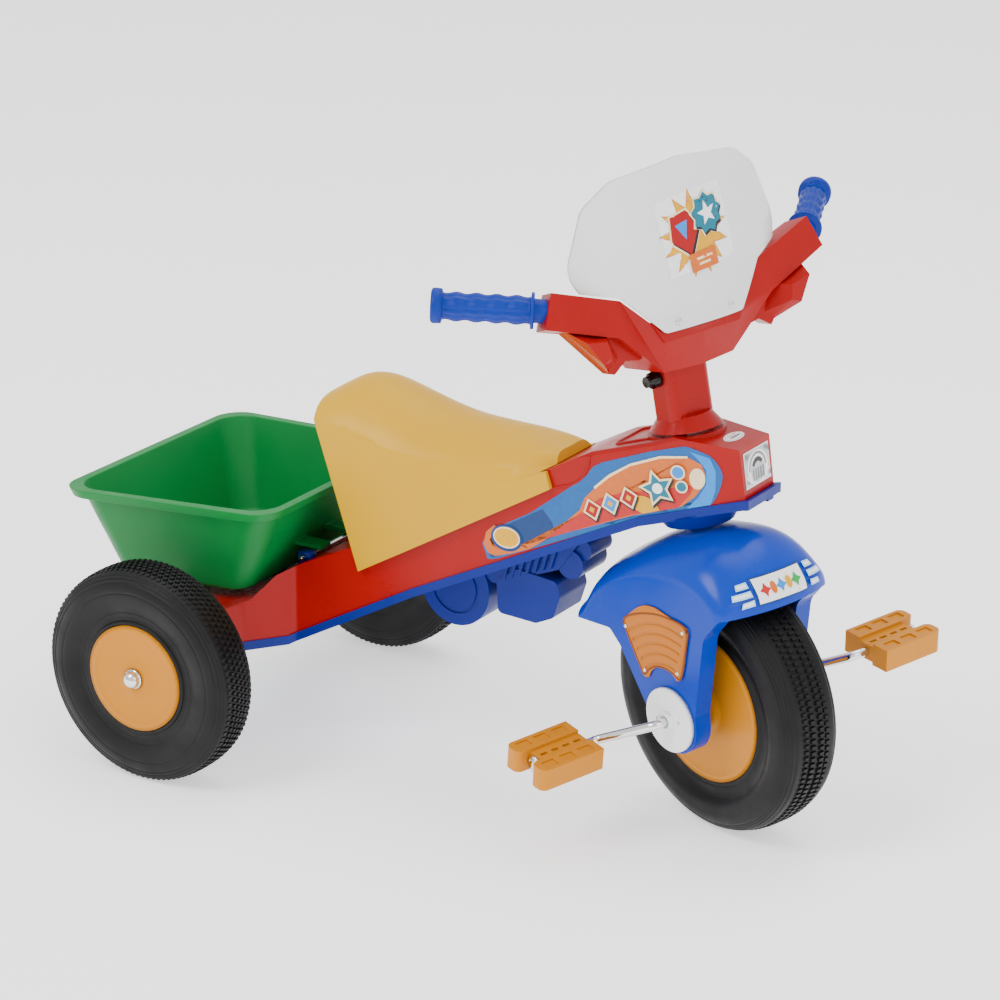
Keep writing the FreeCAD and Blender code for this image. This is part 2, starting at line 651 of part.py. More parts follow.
# ---------------------------------------------------------------- steering head
def steerer_tube():
    low, high = CROWN_Z - CROWN_BOSS - 3, CROWN_Z - CROWN_BOSS
    tube = ring(STEERER_R, STEERER_R - 1.5, (0, 0, low), (0, 0, 327))
    flange = ring(26, STEERER_R, (0, 0, low), (0, 0, high))
    shape = fuse_all([tube, flange])
    for x, y in flange_holes():
        shape = shape.cut(rod(2.6, (x, y, low - 1), (x, y, high + 1)))
    return shape.cut(rod(3.1, (0, -40, CLAMP_Z), (0, 40, CLAMP_Z)))


def steerer_screws():
    low = CROWN_Z - CROWN_BOSS - 3
    screws = []
    for x, y in flange_holes():
        shank = rod(2.5, (x, y, low), (x, y, CROWN_Z - 4))
        screws.append(fuse_all([shank, rod(4.5, (x, y, low - 3), (x, y, low))]))
    return Part.makeCompound(screws)


CLAMP_Z = 311.0
COLUMN_WIDE = 25.0
COLUMN_DEEP = 16.0
FOOT_R = 33.5                 # flared foot that hides the upper bush


def column_block(shrink, low, high):
    a, b = COLUMN_DEEP - shrink, COLUMN_WIDE - shrink
    corners = [(-a, -b, low), (a, -b, low), (a, b, low), (-a, b, low)]
    wire = rounded_polygon(corners, [9 - shrink] * 4)
    return Part.Face(wire).extrude(Vector(0, 0, high - low))


def steering_column():
    outer = column_block(0, HEAD_TOP, 326)
    inner = column_block(3, HEAD_TOP + 4, 322)
    core = rod(STEERER_R + 3, (0, 0, HEAD_TOP), (0, 0, 326))
    foot = Part.makeCone(FOOT_R, 24, 13, Vector(0, 0, HEAD_TOP - 1))
    column = fuse_all([outer.cut(inner), core, foot])
    column = column.cut(rod(STEERER_R + 0.1, (0, 0, 250), (0, 0, 330)))
    return column.cut(rod(3.1, (0, -40, CLAMP_Z), (0, 40, CLAMP_Z)))


def clamp_parts():
    hexagon = [(5.8 * math.cos(math.radians(60 * i)), 5.8 * math.sin(math.radians(60 * i)))
               for i in range(6)]
    outline = [(x, CLAMP_Z + z) for x, z in hexagon]
    shank = rod(3, (0, -32, CLAMP_Z), (0, 26, CLAMP_Z))
    bolt = fuse_all([shank, prism_y(outline, COLUMN_WIDE, COLUMN_WIDE + 4)])
    nut = prism_y(outline, -COLUMN_WIDE - 5, -COLUMN_WIDE)
    nut = nut.cut(rod(3.02, (0, -40, CLAMP_Z), (0, 0, CLAMP_Z)))
    cap = fuse_all([rod(7.6, (0, -COLUMN_WIDE, CLAMP_Z), (0, -COLUMN_WIDE - 8, CLAMP_Z)),
                    rod(5.2, (0, -COLUMN_WIDE - 8, CLAMP_Z), (0, -COLUMN_WIDE - 14, CLAMP_Z))])
    cap = cap.cut(rod(6.0, (0, -COLUMN_WIDE, CLAMP_Z), (0, -COLUMN_WIDE - 5.5, CLAMP_Z)))
    cap = cap.cut(rod(3.2, (0, -COLUMN_WIDE, CLAMP_Z), (0, -COLUMN_WIDE - 9, CLAMP_Z)))
    return bolt, nut, cap


def head_bushes():
    lower = ring(BUSH_R - 0.02, STEERER_R + RUNNING, (0, 0, HEAD_BOTTOM), (0, 0, 200))
    lip = ring(24, STEERER_R + RUNNING, (0, 0, HEAD_BOTTOM - 2), (0, 0, HEAD_BOTTOM))
    upper = ring(BUSH_R - 0.02, STEERER_R + RUNNING, (0, 0, 240), (0, 0, HEAD_TOP - 4))
    cap = ring(24, STEERER_R + RUNNING, (0, 0, HEAD_TOP - 4), (0, 0, HEAD_TOP - 1.5))
    add("lower_steering_bush", lean_head(fuse_all([lower, lip])))
    add("upper_steering_bush", lean_head(fuse_all([upper, cap])))


# ---------------------------------------------------------------- handlebar
BAR_R = 8.0
BAR_END = (-41, 225, 425)
BAR_BEND = (19, 152, 405.5)
BAR_ARM = (20, 87, 383)
BAR_CENTRE = (6, 40, 338)

# one side of the cover: front top, front bottom, rear bottom, rear top corners (x, y, z)
COVER_STATIONS = [
    [(44, 0, 358), (34, 0, 321), (-24, 0, 321), (-24, 0, 356)],
    [(42, 43, 360), (31, 41, 323), (-24, 41, 323), (-24, 43, 360)],
    [(33, 80, 398), (38, 90, 367), (6, 90, 366), (4, 80, 396)],
    [(29, 150, 422), (31, 163, 392), (8, 157, 387), (6, 143, 417)],
]
# lower wing panel of the cover seen from the front, (y, z)
WING = [(140, 386), (93, 334), (79, 343), (63, 340), (47, 343), (44, 350), (90, 372), (142, 394)]
WING_FRONT, WING_REAR = 27.0, 10.0
# the wing swells forward into a hand guard: its root and its front face
WING_BULGE = [
    [(20, 139, 386), (20, 94, 335), (20, 80, 344), (20, 92, 372)],
    [(45, 131, 373), (45, 117, 351), (45, 106, 355), (45, 109, 369)],
]
COVER_SPLIT = 14.0
COVER_WALL = 2.5
SCREEN_SCREW_Y = (-31, 31)
SCREEN_SCREW_Z = 369


def bar_points():
    left = [BAR_END, BAR_BEND, BAR_ARM, BAR_CENTRE]
    return left + [(x, -y, z) for x, y, z in reversed(left)]


def handlebar_tube():
    outer = bent_bar(bar_points(), 20, BAR_R)
    return outer.cut(bent_bar(bar_points(), 20, BAR_R - 1.5))


def inset(section, amount, pull):
    """Shrink a four-cornered section inwards and pull it towards the middle."""
    middle = Vector(0, 0, 0)
    corners = [Vector(*p) for p in section]
    for corner in corners:
        middle = middle + corner * 0.25
    result = []
    for i, corner in enumerate(corners):
        ahead = (corners[(i + 1) % 4] - corner).normalize()
        back = (corners[i - 1] - corner).normalize()
        result.append(corner + (ahead + back) * amount - pull)
    return result


def cover_loft(shrink):
    sections = []
    for i, station in enumerate(COVER_STATIONS):
        pull = Vector(0, shrink, 0.3 * shrink) if i == len(COVER_STATIONS) - 1 else Vector()
        sections.append(inset(station, shrink, pull))
    right = [[Vector(p.x, -p.y, p.z) for p in s] for s in reversed(sections[1:])]
    return facet_solid(right + sections)


def wing_block(side, front, rear, shrink):
    face = face_of([(rear, side * y, z) for y, z in WING])
    if shrink:
        face = face.makeOffset2D(-shrink)
    return face.extrude(Vector(front - rear, 0, 0))


def wing_bulge(side, shrink):
    root, face = [inset([(x, y, z) for x, y, z in section], shrink, Vector())
                  for section in WING_BULGE]
    face = [corner - Vector(shrink, 0, 0) for corner in face]
    return facet_solid([[Vector(p.x, side * p.y, p.z) for p in section]
                        for section in (root, face)])


def handlebar_covers():
    """The hollow cover, cut into a front and a rear half along a cross plane."""
    outer = fuse_all([cover_loft(0), wing_block(1, WING_FRONT, WING_REAR, 0),
                      wing_block(-1, WING_FRONT, WING_REAR, 0), wing_bulge(1, 0),
                      wing_bulge(-1, 0)])
    front, rear = WING_FRONT - COVER_WALL, WING_REAR - 8
    inner = fuse_all([cover_loft(COVER_WALL), wing_block(1, front, rear, COVER_WALL),
                      wing_block(-1, front, rear, COVER_WALL), wing_bulge(1, COVER_WALL),
                      wing_bulge(-1, COVER_WALL)])
    shell = outer.cut(inner)
    outline = [(-44, 352), (44, 352), (56, 372), (50, 377), (-50, 377), (-56, 372)]
    plate = prism_x(outline, 40, 42.5)
    bosses = [rod(4, (42.5, y, SCREEN_SCREW_Z), (46.8, y, SCREEN_SCREW_Z)) for y in SCREEN_SCREW_Y]
    shell = fuse_all([shell, plate.cut(inner)] + bosses)
    for y in SCREEN_SCREW_Y:
        shell = shell.cut(rod(1.55, (38, y, SCREEN_SCREW_Z), (50, y, SCREEN_SCREW_Z)))
    shell = shell.cut(column_block(-0.3, 300, 340))
    shell = shell.cut(bent_bar(bar_points(), 20, BAR_R + 0.5))
    front = shell.common(box((COVER_SPLIT + 0.05, -200, 280), (80, 200, 480)))
    rear = shell.common(box((-80, -200, 280), (COVER_SPLIT - 0.05, 200, 480)))
    return front, rear


def grip():
    """Left grip, from its inner flange to the flared end."""
    bend, end = Vector(*BAR_BEND), Vector(*BAR_END)
    axis = (end - bend).normalize()
    start = bend + axis * 9.5
    length = (end - bend).Length - 9.5
    outline = [(0, 15.2), (2.2, 15.2), (2.4, 12), (10, 11.8), (24, 12.6), (38, 11.8), (52, 13),
               (66, 12), (length - 9, 12.6), (length - 4, 14.6), (length + 1.5, 14.6),
               (length + 3, 13), (length + 3, 0), (length + 0.5, 0),
               (length + 0.5, BAR_R + 0.05), (0, BAR_R + 0.05)]
    face = face_of([(s, 0, r) for s, r in outline])
    solid = face.revolve(Vector(0, 0, 0), Vector(1, 0, 0), 360)
    solid.Placement = Placement(start, Rotation(Vector(1, 0, 0), axis))
    return solid


# ---------------------------------------------------------------- windscreen
SCREEN_BEND_R = 250.0
SCREEN_THICK = 2.0
SCREEN_LEAN = 3.4
SCREEN_X = 51.0
SCREEN = [(-45, 361, 6), (45, 361, 6), (80, 400, 6), (113, 411, 4), (121, 430, 30),
          (100, 483, 25), (72, 503, 30), (0, 511, 0)]


def screen_outline():
    right = [(-y, z, r) for y, z, r in reversed(SCREEN[2:-1])]
    return SCREEN[:2] + SCREEN[2:] + right


def screen_sheet(proud, back):
    """The bent, leaning sheet between two offsets from the windscreen's front face."""
    axis_x = SCREEN_X - SCREEN_BEND_R
    sheet = ring(SCREEN_BEND_R + proud, SCREEN_BEND_R + back, (axis_x, 0, 250), (axis_x, 0, 600))
    return turned(sheet, (SCREEN_X, 0, 369), (0, 1, 0), -SCREEN_LEAN)


def windscreen():
    points = screen_outline()
    wire = rounded_polygon([(0, y, z) for y, z, r in points], [r for y, z, r in points])
    slab = Part.Face(wire).extrude(Vector(100, 0, 0))
    screen = slab.common(screen_sheet(0, -SCREEN_THICK))
    for y in SCREEN_SCREW_Y:
        screen = screen.cut(rod(1.7, (30, y, SCREEN_SCREW_Z), (70, y, SCREEN_SCREW_Z)))
    return screen


def windscreen_screws():
    screws = []
    for y in SCREEN_SCREW_Y:
        shank = rod(1.5, (40, y, SCREEN_SCREW_Z), (49.8, y, SCREEN_SCREW_Z))
        seat_point = Vector(49.6, y, SCREEN_SCREW_Z)
        head = Part.makeCone(3.4, 2.4, 1.2, seat_point, Vector(1, 0, 0))
        screws.append(fuse_all([shank, head]))
    return Part.makeCompound(screws)


# ---------------------------------------------------------------- bucket
BUCKET_WALL = 2.5
FLOOR_Z = 158.0               # in the bucket's own pitched frame
RIM_Z = 252.5
LIP = 8.0


def bucket_ring(z, rear, front, rear_half, front_half, corner):
    points = [(rear, -rear_half, z), (front, -front_half, z), (front, front_half, z),
              (rear, rear_half, z)]
    return rounded_polygon(points, [corner] * 4)


def bucket_loft(shrink, low, high):
    """Tapered tub; the plan at any height is worked out from floor and rim."""
    sections = []
    for z in (low, high):
        t = (z - FLOOR_Z) / (RIM_Z - FLOOR_Z)
        rear = -105 - 27 * t + shrink
        front = 44 + 51 * t - shrink
        rear_half = 107 + 30 * t - shrink
        front_half = 102 + 20 * t - shrink
        sections.append(bucket_ring(z, rear, front, rear_half, front_half, 24 + 4 * t))
    return Part.makeLoft(sections, True, True)


def bucket():
    tub = bucket_loft(0, FLOOR_Z, RIM_Z)
    floor_edges = [e for e in tub.Edges if e.BoundBox.ZMax < FLOOR_Z + 0.5]
    tub = tub.makeFillet(8, floor_edges)
    inside = bucket_loft(BUCKET_WALL, FLOOR_Z + BUCKET_WALL, RIM_Z + 20)
    floor_edges = [e for e in inside.Edges if e.BoundBox.ZMax < FLOOR_Z + BUCKET_WALL + 0.5]
    inside = inside.makeFillet(6, floor_edges)
    lip = bucket_loft(-LIP, RIM_Z - 9, RIM_Z).cut(bucket_loft(-LIP + 2, RIM_Z - 30, RIM_Z - 2.5))
    tub = fuse_all([tub, lip]).cut(inside)
    return turned(tub, (0, 0, 0), (0, 1, 0), -BUCKET_PITCH)


def bucket_with_lugs():
    tub = bucket()
    solid_tub = turned(bucket_loft(1, FLOOR_Z + 1, RIM_Z), (0, 0, 0), (0, 1, 0), -BUCKET_PITCH)
    pieces = [tub]
    for side in (-1, 1):
        low, high = sorted((side * 56, side * 66))
        lug = [rod(5, (HINGE_X, low, HINGE_Z), (HINGE_X, high, HINGE_Z)),
               box((HINGE_X - 5, low, HINGE_Z), (HINGE_X + 5, high, HINGE_Z + 9))]
        pieces.append(fuse_all(lug).cut(solid_tub))
        foot = box((50, side * 26 - 9, REST_ROD_Z + REST_ROD_R + 0.3),
                   (REST_ROD_X + 7, side * 26 + 9, REST_ROD_Z + REST_ROD_R + 4.3))
        pieces.append(foot.cut(solid_tub))
    whole = fuse_all(pieces)
    return whole.cut(rod(HINGE_ROD_R + RUNNING, (HINGE_X, -80, HINGE_Z), (HINGE_X, 80, HINGE_Z)))


def bucket_supports():
    """Hinge brackets and rod at the tail, rest rod and clips at the front."""
    body = body_block(0, 0, 0, 0)
    brackets = []
    clips = []
    for side in (-1, 1):
        low, high = sorted((side * 66.5, side * 70))
        ear = rod(5, (HINGE_X, low, HINGE_Z), (HINGE_X, high, HINGE_Z))
        post = box((HINGE_X - 5, low, 130), (HINGE_X + 5, high, HINGE_Z))
        low, high = sorted((side * 66.5, side * 82))
        foot = box((HINGE_X - 5, low, 130), (HINGE_X + 9, high, HINGE_Z - 4))
        bracket = fuse_all([ear, post, foot]).cut(body)
        hole = rod(HINGE_ROD_R + 0.02, (HINGE_X, -90, HINGE_Z), (HINGE_X, 90, HINGE_Z))
        brackets.append(bracket.cut(hole))
        clip = box((REST_ROD_X - 7, side * 48 - 5, 160),
                   (REST_ROD_X + 7, side * 48 + 5, REST_ROD_Z + 5))
        hole = rod(REST_ROD_R + 0.02, (REST_ROD_X, -90, REST_ROD_Z), (REST_ROD_X, 90, REST_ROD_Z))
        clips.append(clip.cut(body).cut(hole))
    add("bucket_hinge_brackets", *brackets)
    add("bucket_rest_clips", *clips)
    add("bucket_hinge_rod", rod(HINGE_ROD_R, (HINGE_X, -74, HINGE_Z), (HINGE_X, 74, HINGE_Z)))
    add("bucket_rest_rod", rod(REST_ROD_R, (REST_ROD_X, -58, REST_ROD_Z),
                               (REST_ROD_X, 58, REST_ROD_Z)))


# ---------------------------------------------------------------- labels
LABEL_THICK = 0.4
BODY_LABEL = [(278, 247, 8), (290, 232, 8), (403, 283, 0), (463, 306, 0), (501, 317, 8),
              (514, 331, 4), (520, 352, 12), (508, 370, 12), (484, 376, 12), (450, 366, 12),
              (401, 347, 8), (383, 328, 8), (330, 286, 0), (296, 266, 10)]


def body_labels():
    """A long label on each side of the body, lying on the side wall."""
    skin = body_block(0, 0, 0, LABEL_THICK).cut(body_block(10, 10, -10, 0.02))
    labels = []
    for side in (-1, 1):
        wire = rounded_polygon([(x, 0, z) for x, z, r in BODY_LABEL], [r for x, z, r in BODY_LABEL])
        slab = Part.Face(wire).extrude(Vector(0, side * 100, 0))
        labels.append(slab.common(skin))
    return labels


def nose_labels():
    """The headlamp print on the nose and the small oval badge on top of it."""
    front = body_block(LABEL_THICK, 0, 0, 1).cut(body_block(0.02, 0, 0, 5))
    front = front.common(box((500, -23, 341), (560, 23, 374)))
    top = body_block(0, LABEL_THICK, 0, 0).cut(body_block(0, 0.02, 0, 5))
    oval = Part.Ellipse(Vector(513, 0, 300), 15, 7).toShape()
    oval = Part.Face(Part.Wire(oval)).extrude(Vector(0, 0, 200))
    oval = turned(oval, (513, 0, 300), (0, 0, 1), 90)
    return front, top.common(oval)


def fender_label():
    """A rounded plate-shaped label across the front of the mudguard."""
    skin = hood_block(-LABEL_THICK, 60).cut(hood_block(-0.02, 50))
    return skin.common(box((60, -29, 112), (130, 29, 134)))


BURST_CENTRE = (3, 443)
BURST_POINTS = 12


def windscreen_label():
    """A starburst label on the front of the windscreen."""
    outline = []
    for i in range(2 * BURST_POINTS):
        reach = 36 if i % 2 == 0 else 27
        angle = math.pi * i / BURST_POINTS
        outline.append((BURST_CENTRE[0] + reach * math.cos(angle),
                        BURST_CENTRE[1] + 0.85 * reach * math.sin(angle)))
    return prism_x(outline, 20, 80).common(screen_sheet(LABEL_THICK, 0.02))


# ---------------------------------------------------------------- assembly
def build():
    upper = chassis_upper_shell()
    add("chassis_upper_shell", upper)
    add("chassis_lower_shell", chassis_lower_shell().cut(upper))
    add("engine_moulding", engine_moulding())
    add("seat", seat())
    axle_parts()
    for prefix, side in (("left", 1), ("right", -1)):
        rear_wheel(prefix, side)
    head_bushes()
    front_wheel()
    for prefix, side in (("left", 1), ("right", -1)):
        add(prefix + "_pedal", place_front(pedal(side)))
        add(prefix + "_crank_bearing", place_front(crank_bearing(side)))
        add(prefix + "_fork_plate", place_front(fork_plate(side)))
    add("fork_plate_rivets", *[place_front(fork_plate_rivet(side, x, z))
                               for side in (-1, 1) for x, z in FORK_RIVETS])
    add("fork_fender", place_front(fork_fender()))
    add("steerer_tube", place_front(steerer_tube()))
    add("steerer_screws", place_front(steerer_screws()))
    add("steering_column", place_front(steering_column()))
    for name, shape in zip(("clamp_bolt", "clamp_nut", "clamp_cap"), clamp_parts()):
        add(name, place_front(shape))
    add("handlebar_tube", place_front(handlebar_tube()))
    front, rear = handlebar_covers()
    add("handlebar_front_cover", place_front(front))
    add("handlebar_rear_cover", place_front(rear))
    add("left_grip", place_front(grip()))
    add("right_grip", place_front(mirrored(grip())))
    add("windscreen", place_front(windscreen().cut(front)))
    add("windscreen_screws", place_front(windscreen_screws()))
    add("bucket", bucket_with_lugs())
    bucket_supports()
    add("body_labels", *body_labels())
    headlamp, badge = nose_labels()
    add("headlamp_label", headlamp)
    add("nose_badge", badge)
    add("fender_label", place_front(fender_label()))
    add("windscreen_label", place_front(windscreen_label()))


def footprint_shift():
    """Offset that puts the footprint's centre and the ground at the origin."""
    whole = Part.makeCompound(list(NODES.values())).optimalBoundingBox(False)
    return Vector(-(whole.XMin + whole.XMax) / 2, -(whole.YMin + whole.YMax) / 2, 0)


build()
os.makedirs("parts", exist_ok=True)
SHIFT = footprint_shift()
for name in NODES:
    shape = NODES[name]
    shape.translate(SHIFT)
    shape.exportStep("parts/%s.step" % name)
print("origin shift", SHIFT, "nodes", len(NODES))
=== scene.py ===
import bmesh
import bpy
import json
import math
from mathutils import Matrix, Vector
from mathutils.bvhtree import BVHTree


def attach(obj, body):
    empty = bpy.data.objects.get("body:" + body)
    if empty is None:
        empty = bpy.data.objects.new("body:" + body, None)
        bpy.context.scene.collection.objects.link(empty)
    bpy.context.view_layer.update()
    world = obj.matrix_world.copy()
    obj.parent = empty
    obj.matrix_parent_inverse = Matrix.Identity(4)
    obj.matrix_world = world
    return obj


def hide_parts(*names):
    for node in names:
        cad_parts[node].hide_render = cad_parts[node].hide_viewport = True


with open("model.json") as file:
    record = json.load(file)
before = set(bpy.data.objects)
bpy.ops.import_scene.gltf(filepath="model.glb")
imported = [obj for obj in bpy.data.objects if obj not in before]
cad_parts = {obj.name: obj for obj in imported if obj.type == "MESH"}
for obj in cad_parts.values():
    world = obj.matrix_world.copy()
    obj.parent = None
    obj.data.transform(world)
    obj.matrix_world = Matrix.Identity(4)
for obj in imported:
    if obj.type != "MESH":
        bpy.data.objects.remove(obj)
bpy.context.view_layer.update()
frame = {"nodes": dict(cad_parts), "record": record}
NODES = frame["nodes"]

# Lengths below are in millimetres of two drawing frames; both end in the row frame, in metres.
REAR_AXLE_X = -249.925
WHEELBASE, FRONT_Z, RAKE, STEER = 513.5, 125.4, 10.9, -20.0
CHASSIS = Matrix.Translation((REAR_AXLE_X / 1000, 0, 0)) @ Matrix.Scale(0.001, 4)
FORK = (Matrix.Translation(((REAR_AXLE_X + WHEELBASE) / 1000, 0, FRONT_Z / 1000))
        @ Matrix.Rotation(math.radians(-RAKE), 4, "Y")
        @ Matrix.Rotation(math.radians(STEER), 4, "Z") @ Matrix.Scale(0.001, 4))

WELD_DISTANCE = 0.00002      # metres
BEVEL_SEGMENTS = 3
BEVEL_ANGLE = math.radians(32)
LAYER_GAP = 0.1              # millimetres between one printed layer and the next
LABEL_TOP = 0.52             # first layer above a body face that carries a label blank
PLATE_TOP = 0.6              # the same on the mudguard
FILM_TOP = 0.12              # first layer above a label blank itself
HUB_TRACK, REAR_RADIUS = 201, 107


# ---------------------------------------------------------------- materials
def rgb(r, g, b):
    return (r, g, b, 1.0)


def shade(colour, factor):
    return tuple(min(1.0, c * factor) for c in colour[:3]) + (1.0,)


def new_material(name):
    mat = bpy.data.materials.new(name)
    mat.use_nodes = True
    tree = mat.node_tree
    return mat, tree.nodes, tree.links, tree.nodes["Principled BSDF"]


def noise(nodes, links, scale, detail=3.0):
    where = nodes.new("ShaderNodeTexCoord")
    tex = nodes.new("ShaderNodeTexNoise")
    tex.inputs["Scale"].default_value = scale
    tex.inputs["Detail"].default_value = detail
    links.new(where.outputs["Object"], tex.inputs["Vector"])
    return tex.outputs["Fac"]


def spread(nodes, links, value, low, high):
    """Stretch the middle of a noise value over low to high."""
    remap = nodes.new("ShaderNodeMapRange")
    remap.inputs["From Min"].default_value = 0.3
    remap.inputs["From Max"].default_value = 0.7
    remap.inputs["To Min"].default_value = low
    remap.inputs["To Max"].default_value = high
    links.new(value, remap.inputs["Value"])
    return remap.outputs["Result"]


def blend_colours(nodes, links, factor, a, b):
    mix = nodes.new("ShaderNodeMix")
    mix.data_type = "RGBA"
    mix.inputs["A"].default_value = a
    mix.inputs["B"].default_value = b
    links.new(factor, mix.inputs["Factor"])
    return mix.outputs["Result"]


def bumped(nodes, links, shader, height, strength, distance):
    bump = nodes.new("ShaderNodeBump")
    bump.inputs["Strength"].default_value = strength
    bump.inputs["Distance"].default_value = distance
    links.new(height, bump.inputs["Height"])
    links.new(bump.outputs["Normal"], shader.inputs["Normal"])


def plastic(name, colour, rough, grain, vary, coat=0.0):
    """Moulded plastic: slow colour drift, fine pebbling and an uneven sheen."""
    mat, nodes, links, shader = new_material(name)
    drift = spread(nodes, links, noise(nodes, links, 9.0), 0.0, 1.0)
    base = blend_colours(nodes, links, drift, shade(colour, 1 - vary), shade(colour, 1 + vary))
    links.new(base, shader.inputs["Base Color"])
    sheen = spread(nodes, links, noise(nodes, links, 35.0), rough * 0.85, rough * 1.25)
    links.new(sheen, shader.inputs["Roughness"])
    bumped(nodes, links, shader, noise(nodes, links, 900.0, 2.0), grain, 0.0004)
    shader.inputs["Specular IOR Level"].default_value = 0.22
    shader.inputs["Coat Weight"].default_value = coat
    shader.inputs["Coat Roughness"].default_value = 0.12
    return mat


def metal(name, colour, rough):
    """Bright metal with faint brushing and handling marks."""
    mat, nodes, links, shader = new_material(name)
    shader.inputs["Metallic"].default_value = 1.0
    drift = spread(nodes, links, noise(nodes, links, 30.0), 0.0, 1.0)
    links.new(blend_colours(nodes, links, drift, shade(colour, 0.88), colour),
              shader.inputs["Base Color"])
    links.new(spread(nodes, links, noise(nodes, links, 120.0), rough * 0.7, rough * 1.5),
              shader.inputs["Roughness"])
    bumped(nodes, links, shader, noise(nodes, links, 500.0), 0.08, 0.0002)
    return mat


RED = plastic("red_plastic", rgb(0.33, 0.0, 0.0), 0.3, 0.08, 0.04)
FENDER_BLUE = plastic("fender_blue", rgb(0.0, 0.035, 0.40), 0.22, 0.06, 0.05)
BASE_BLUE = plastic("base_blue", rgb(0.0, 0.012, 0.20), 0.40, 0.15, 0.08)
GRIP_BLUE = plastic("grip_blue", rgb(0.0, 0.02, 0.26), 0.42, 0.2, 0.08)
YELLOW = plastic("seat_yellow", rgb(0.62, 0.33, 0.0), 0.36, 0.1, 0.03)
GREEN = plastic("bucket_green", rgb(0.0, 0.19, 0.035), 0.4, 0.12, 0.05)
ORANGE_YELLOW = plastic("wheel_yellow", rgb(0.56, 0.20, 0.0), 0.32, 0.08, 0.04)
TYRE = plastic("tyre_grey", rgb(0.003, 0.003, 0.0034), 0.46, 0.3, 0.12)
PLATE_ORANGE = plastic("plate_orange", rgb(0.50, 0.15, 0.006), 0.4, 0.1, 0.06)
# The plate's orange darkened: painted shade for the rim beads round the grille plates.
PLATE_PAINTED_SHADE = plastic("plate_rim_painted_shade", rgb(0.22, 0.055, 0.006), 0.45, 0.1, 0.06)
WHITE = plastic("white_nylon", rgb(0.90, 0.90, 0.90), 0.4, 0.1, 0.03)
BLACK = plastic("black_plastic", rgb(0.002, 0.002, 0.002), 0.25, 0.05, 0.1, 0.3)
LABEL = plastic("label_film", rgb(0.9, 0.9, 0.9), 0.3, 0.03, 0.02)
CHROME = metal("bright_steel", rgb(0.82, 0.82, 0.84), 0.12)
STEEL = metal("steel_tube", rgb(0.62, 0.62, 0.64), 0.3)


def screen_material():
    """Milky translucent sheet."""
    mat, nodes, links, shader = new_material("clear_screen")
    drift = spread(nodes, links, noise(nodes, links, 6.0), 0.0, 1.0)
    links.new(blend_colours(nodes, links, drift, rgb(0.90, 0.90, 0.91), rgb(0.95, 0.95, 0.96)),
              shader.inputs["Base Color"])
    links.new(spread(nodes, links, noise(nodes, links, 50.0), 0.16, 0.28),
              shader.inputs["Roughness"])
    shader.inputs["Transmission Weight"].default_value = 0.12
    shader.inputs["Alpha"].default_value = 0.9
    return mat


SCREEN = screen_material()

FINISH = {
    "red_plastic": RED, "fender_blue": FENDER_BLUE, "base_blue": BASE_BLUE,
    "grip_blue": GRIP_BLUE, "seat_yellow": YELLOW, "bucket_green": GREEN,
    "wheel_yellow": ORANGE_YELLOW, "tyre_grey": TYRE, "plate_orange": PLATE_ORANGE,
    "white_nylon": WHITE, "black_plastic": BLACK, "clear_screen": SCREEN,
    "label_film": LABEL, "steel_tube": STEEL, "bright_steel": CHROME,
}
SLOT_OF = {s["node"]: s["material_slot"] for s in frame["record"]["subparts"]}
BODY_OF = {n: b for b, ns in frame["record"]["behaviour"]["bodies"].items() for n in ns}

# Edge roundings in millimetres.
BEVELS = {"chassis_upper_shell": 1.1, "chassis_lower_shell": 0.9, "engine_moulding": 1.2,
          "seat": 1.2, "bucket": 0.9, "fork_fender": 1.3, "steering_column": 2.0,
          "handlebar_front_cover": 1.8, "handlebar_rear_cover": 1.8, "left_pedal": 0.9,
          "right_pedal": 0.9}


def soften(obj, width):
    """Round the sharp edges a little and shade the rest smooth."""
    weld = obj.modifiers.new("weld", "WELD")
    weld.merge_threshold = WELD_DISTANCE
    if width:
        bevel = obj.modifiers.new("bevel", "BEVEL")
        bevel.width = width / 1000
        bevel.segments = BEVEL_SEGMENTS
        bevel.limit_method = "ANGLE"
        bevel.angle_limit = BEVEL_ANGLE
    for face in obj.data.polygons:
        face.use_smooth = True
    obj.modifiers.new("normals", "WEIGHTED_NORMAL")


for name, node in NODES.items():
    node.data.materials.clear()
    node.data.materials.append(FINISH[SLOT_OF[name]])
    soften(node, BEVELS.get(name, 0))


# ---------------------------------------------------------------- printed labels
def ink(name, colour):
    """Printing ink under clear film: a faint screen dot and a slightly uneven gloss."""
    mat, nodes, links, shader = new_material(name)
    drift = spread(nodes, links, noise(nodes, links, 260.0, 2.0), 0.0, 1.0)
    links.new(blend_colours(nodes, links, drift, shade(colour, 0.93), shade(colour, 1.05)),
              shader.inputs["Base Color"])
    links.new(spread(nodes, links, noise(nodes, links, 60.0), 0.34 * 0.9, 0.34 * 1.2),
              shader.inputs["Roughness"])
    shader.inputs["Specular IOR Level"].default_value = 0.35
    return mat


INK_NAVY = ink("ink_navy", rgb(0.0, 0.035, 0.16))
INK_MID = ink("ink_mid_blue", rgb(0.0, 0.10, 0.34))
INK_CYAN = ink("ink_cyan", rgb(0.0, 0.24, 0.72))
INK_ORANGE = ink("ink_orange", rgb(0.62, 0.13, 0.01))
INK_CORAL = ink("ink_coral", rgb(0.50, 0.015, 0.012))
INK_YELLOW = ink("ink_yellow", rgb(0.72, 0.36, 0.0))
INK_CREAM = ink("ink_cream", rgb(0.95, 0.72, 0.42))
INK_RED = ink("ink_red", rgb(0.36, 0.0, 0.002))
INK_TEAL = ink("ink_teal", rgb(0.0, 0.16, 0.24))
INK_BLACK = ink("ink_black", rgb(0.012, 0.012, 0.015))
INK_GREY = ink("ink_grey", rgb(0.20, 0.20, 0.21))
INK_SILVER = ink("ink_silver", rgb(0.52, 0.53, 0.55))
INK_WHITE = ink("ink_white", rgb(0.92, 0.92, 0.93))
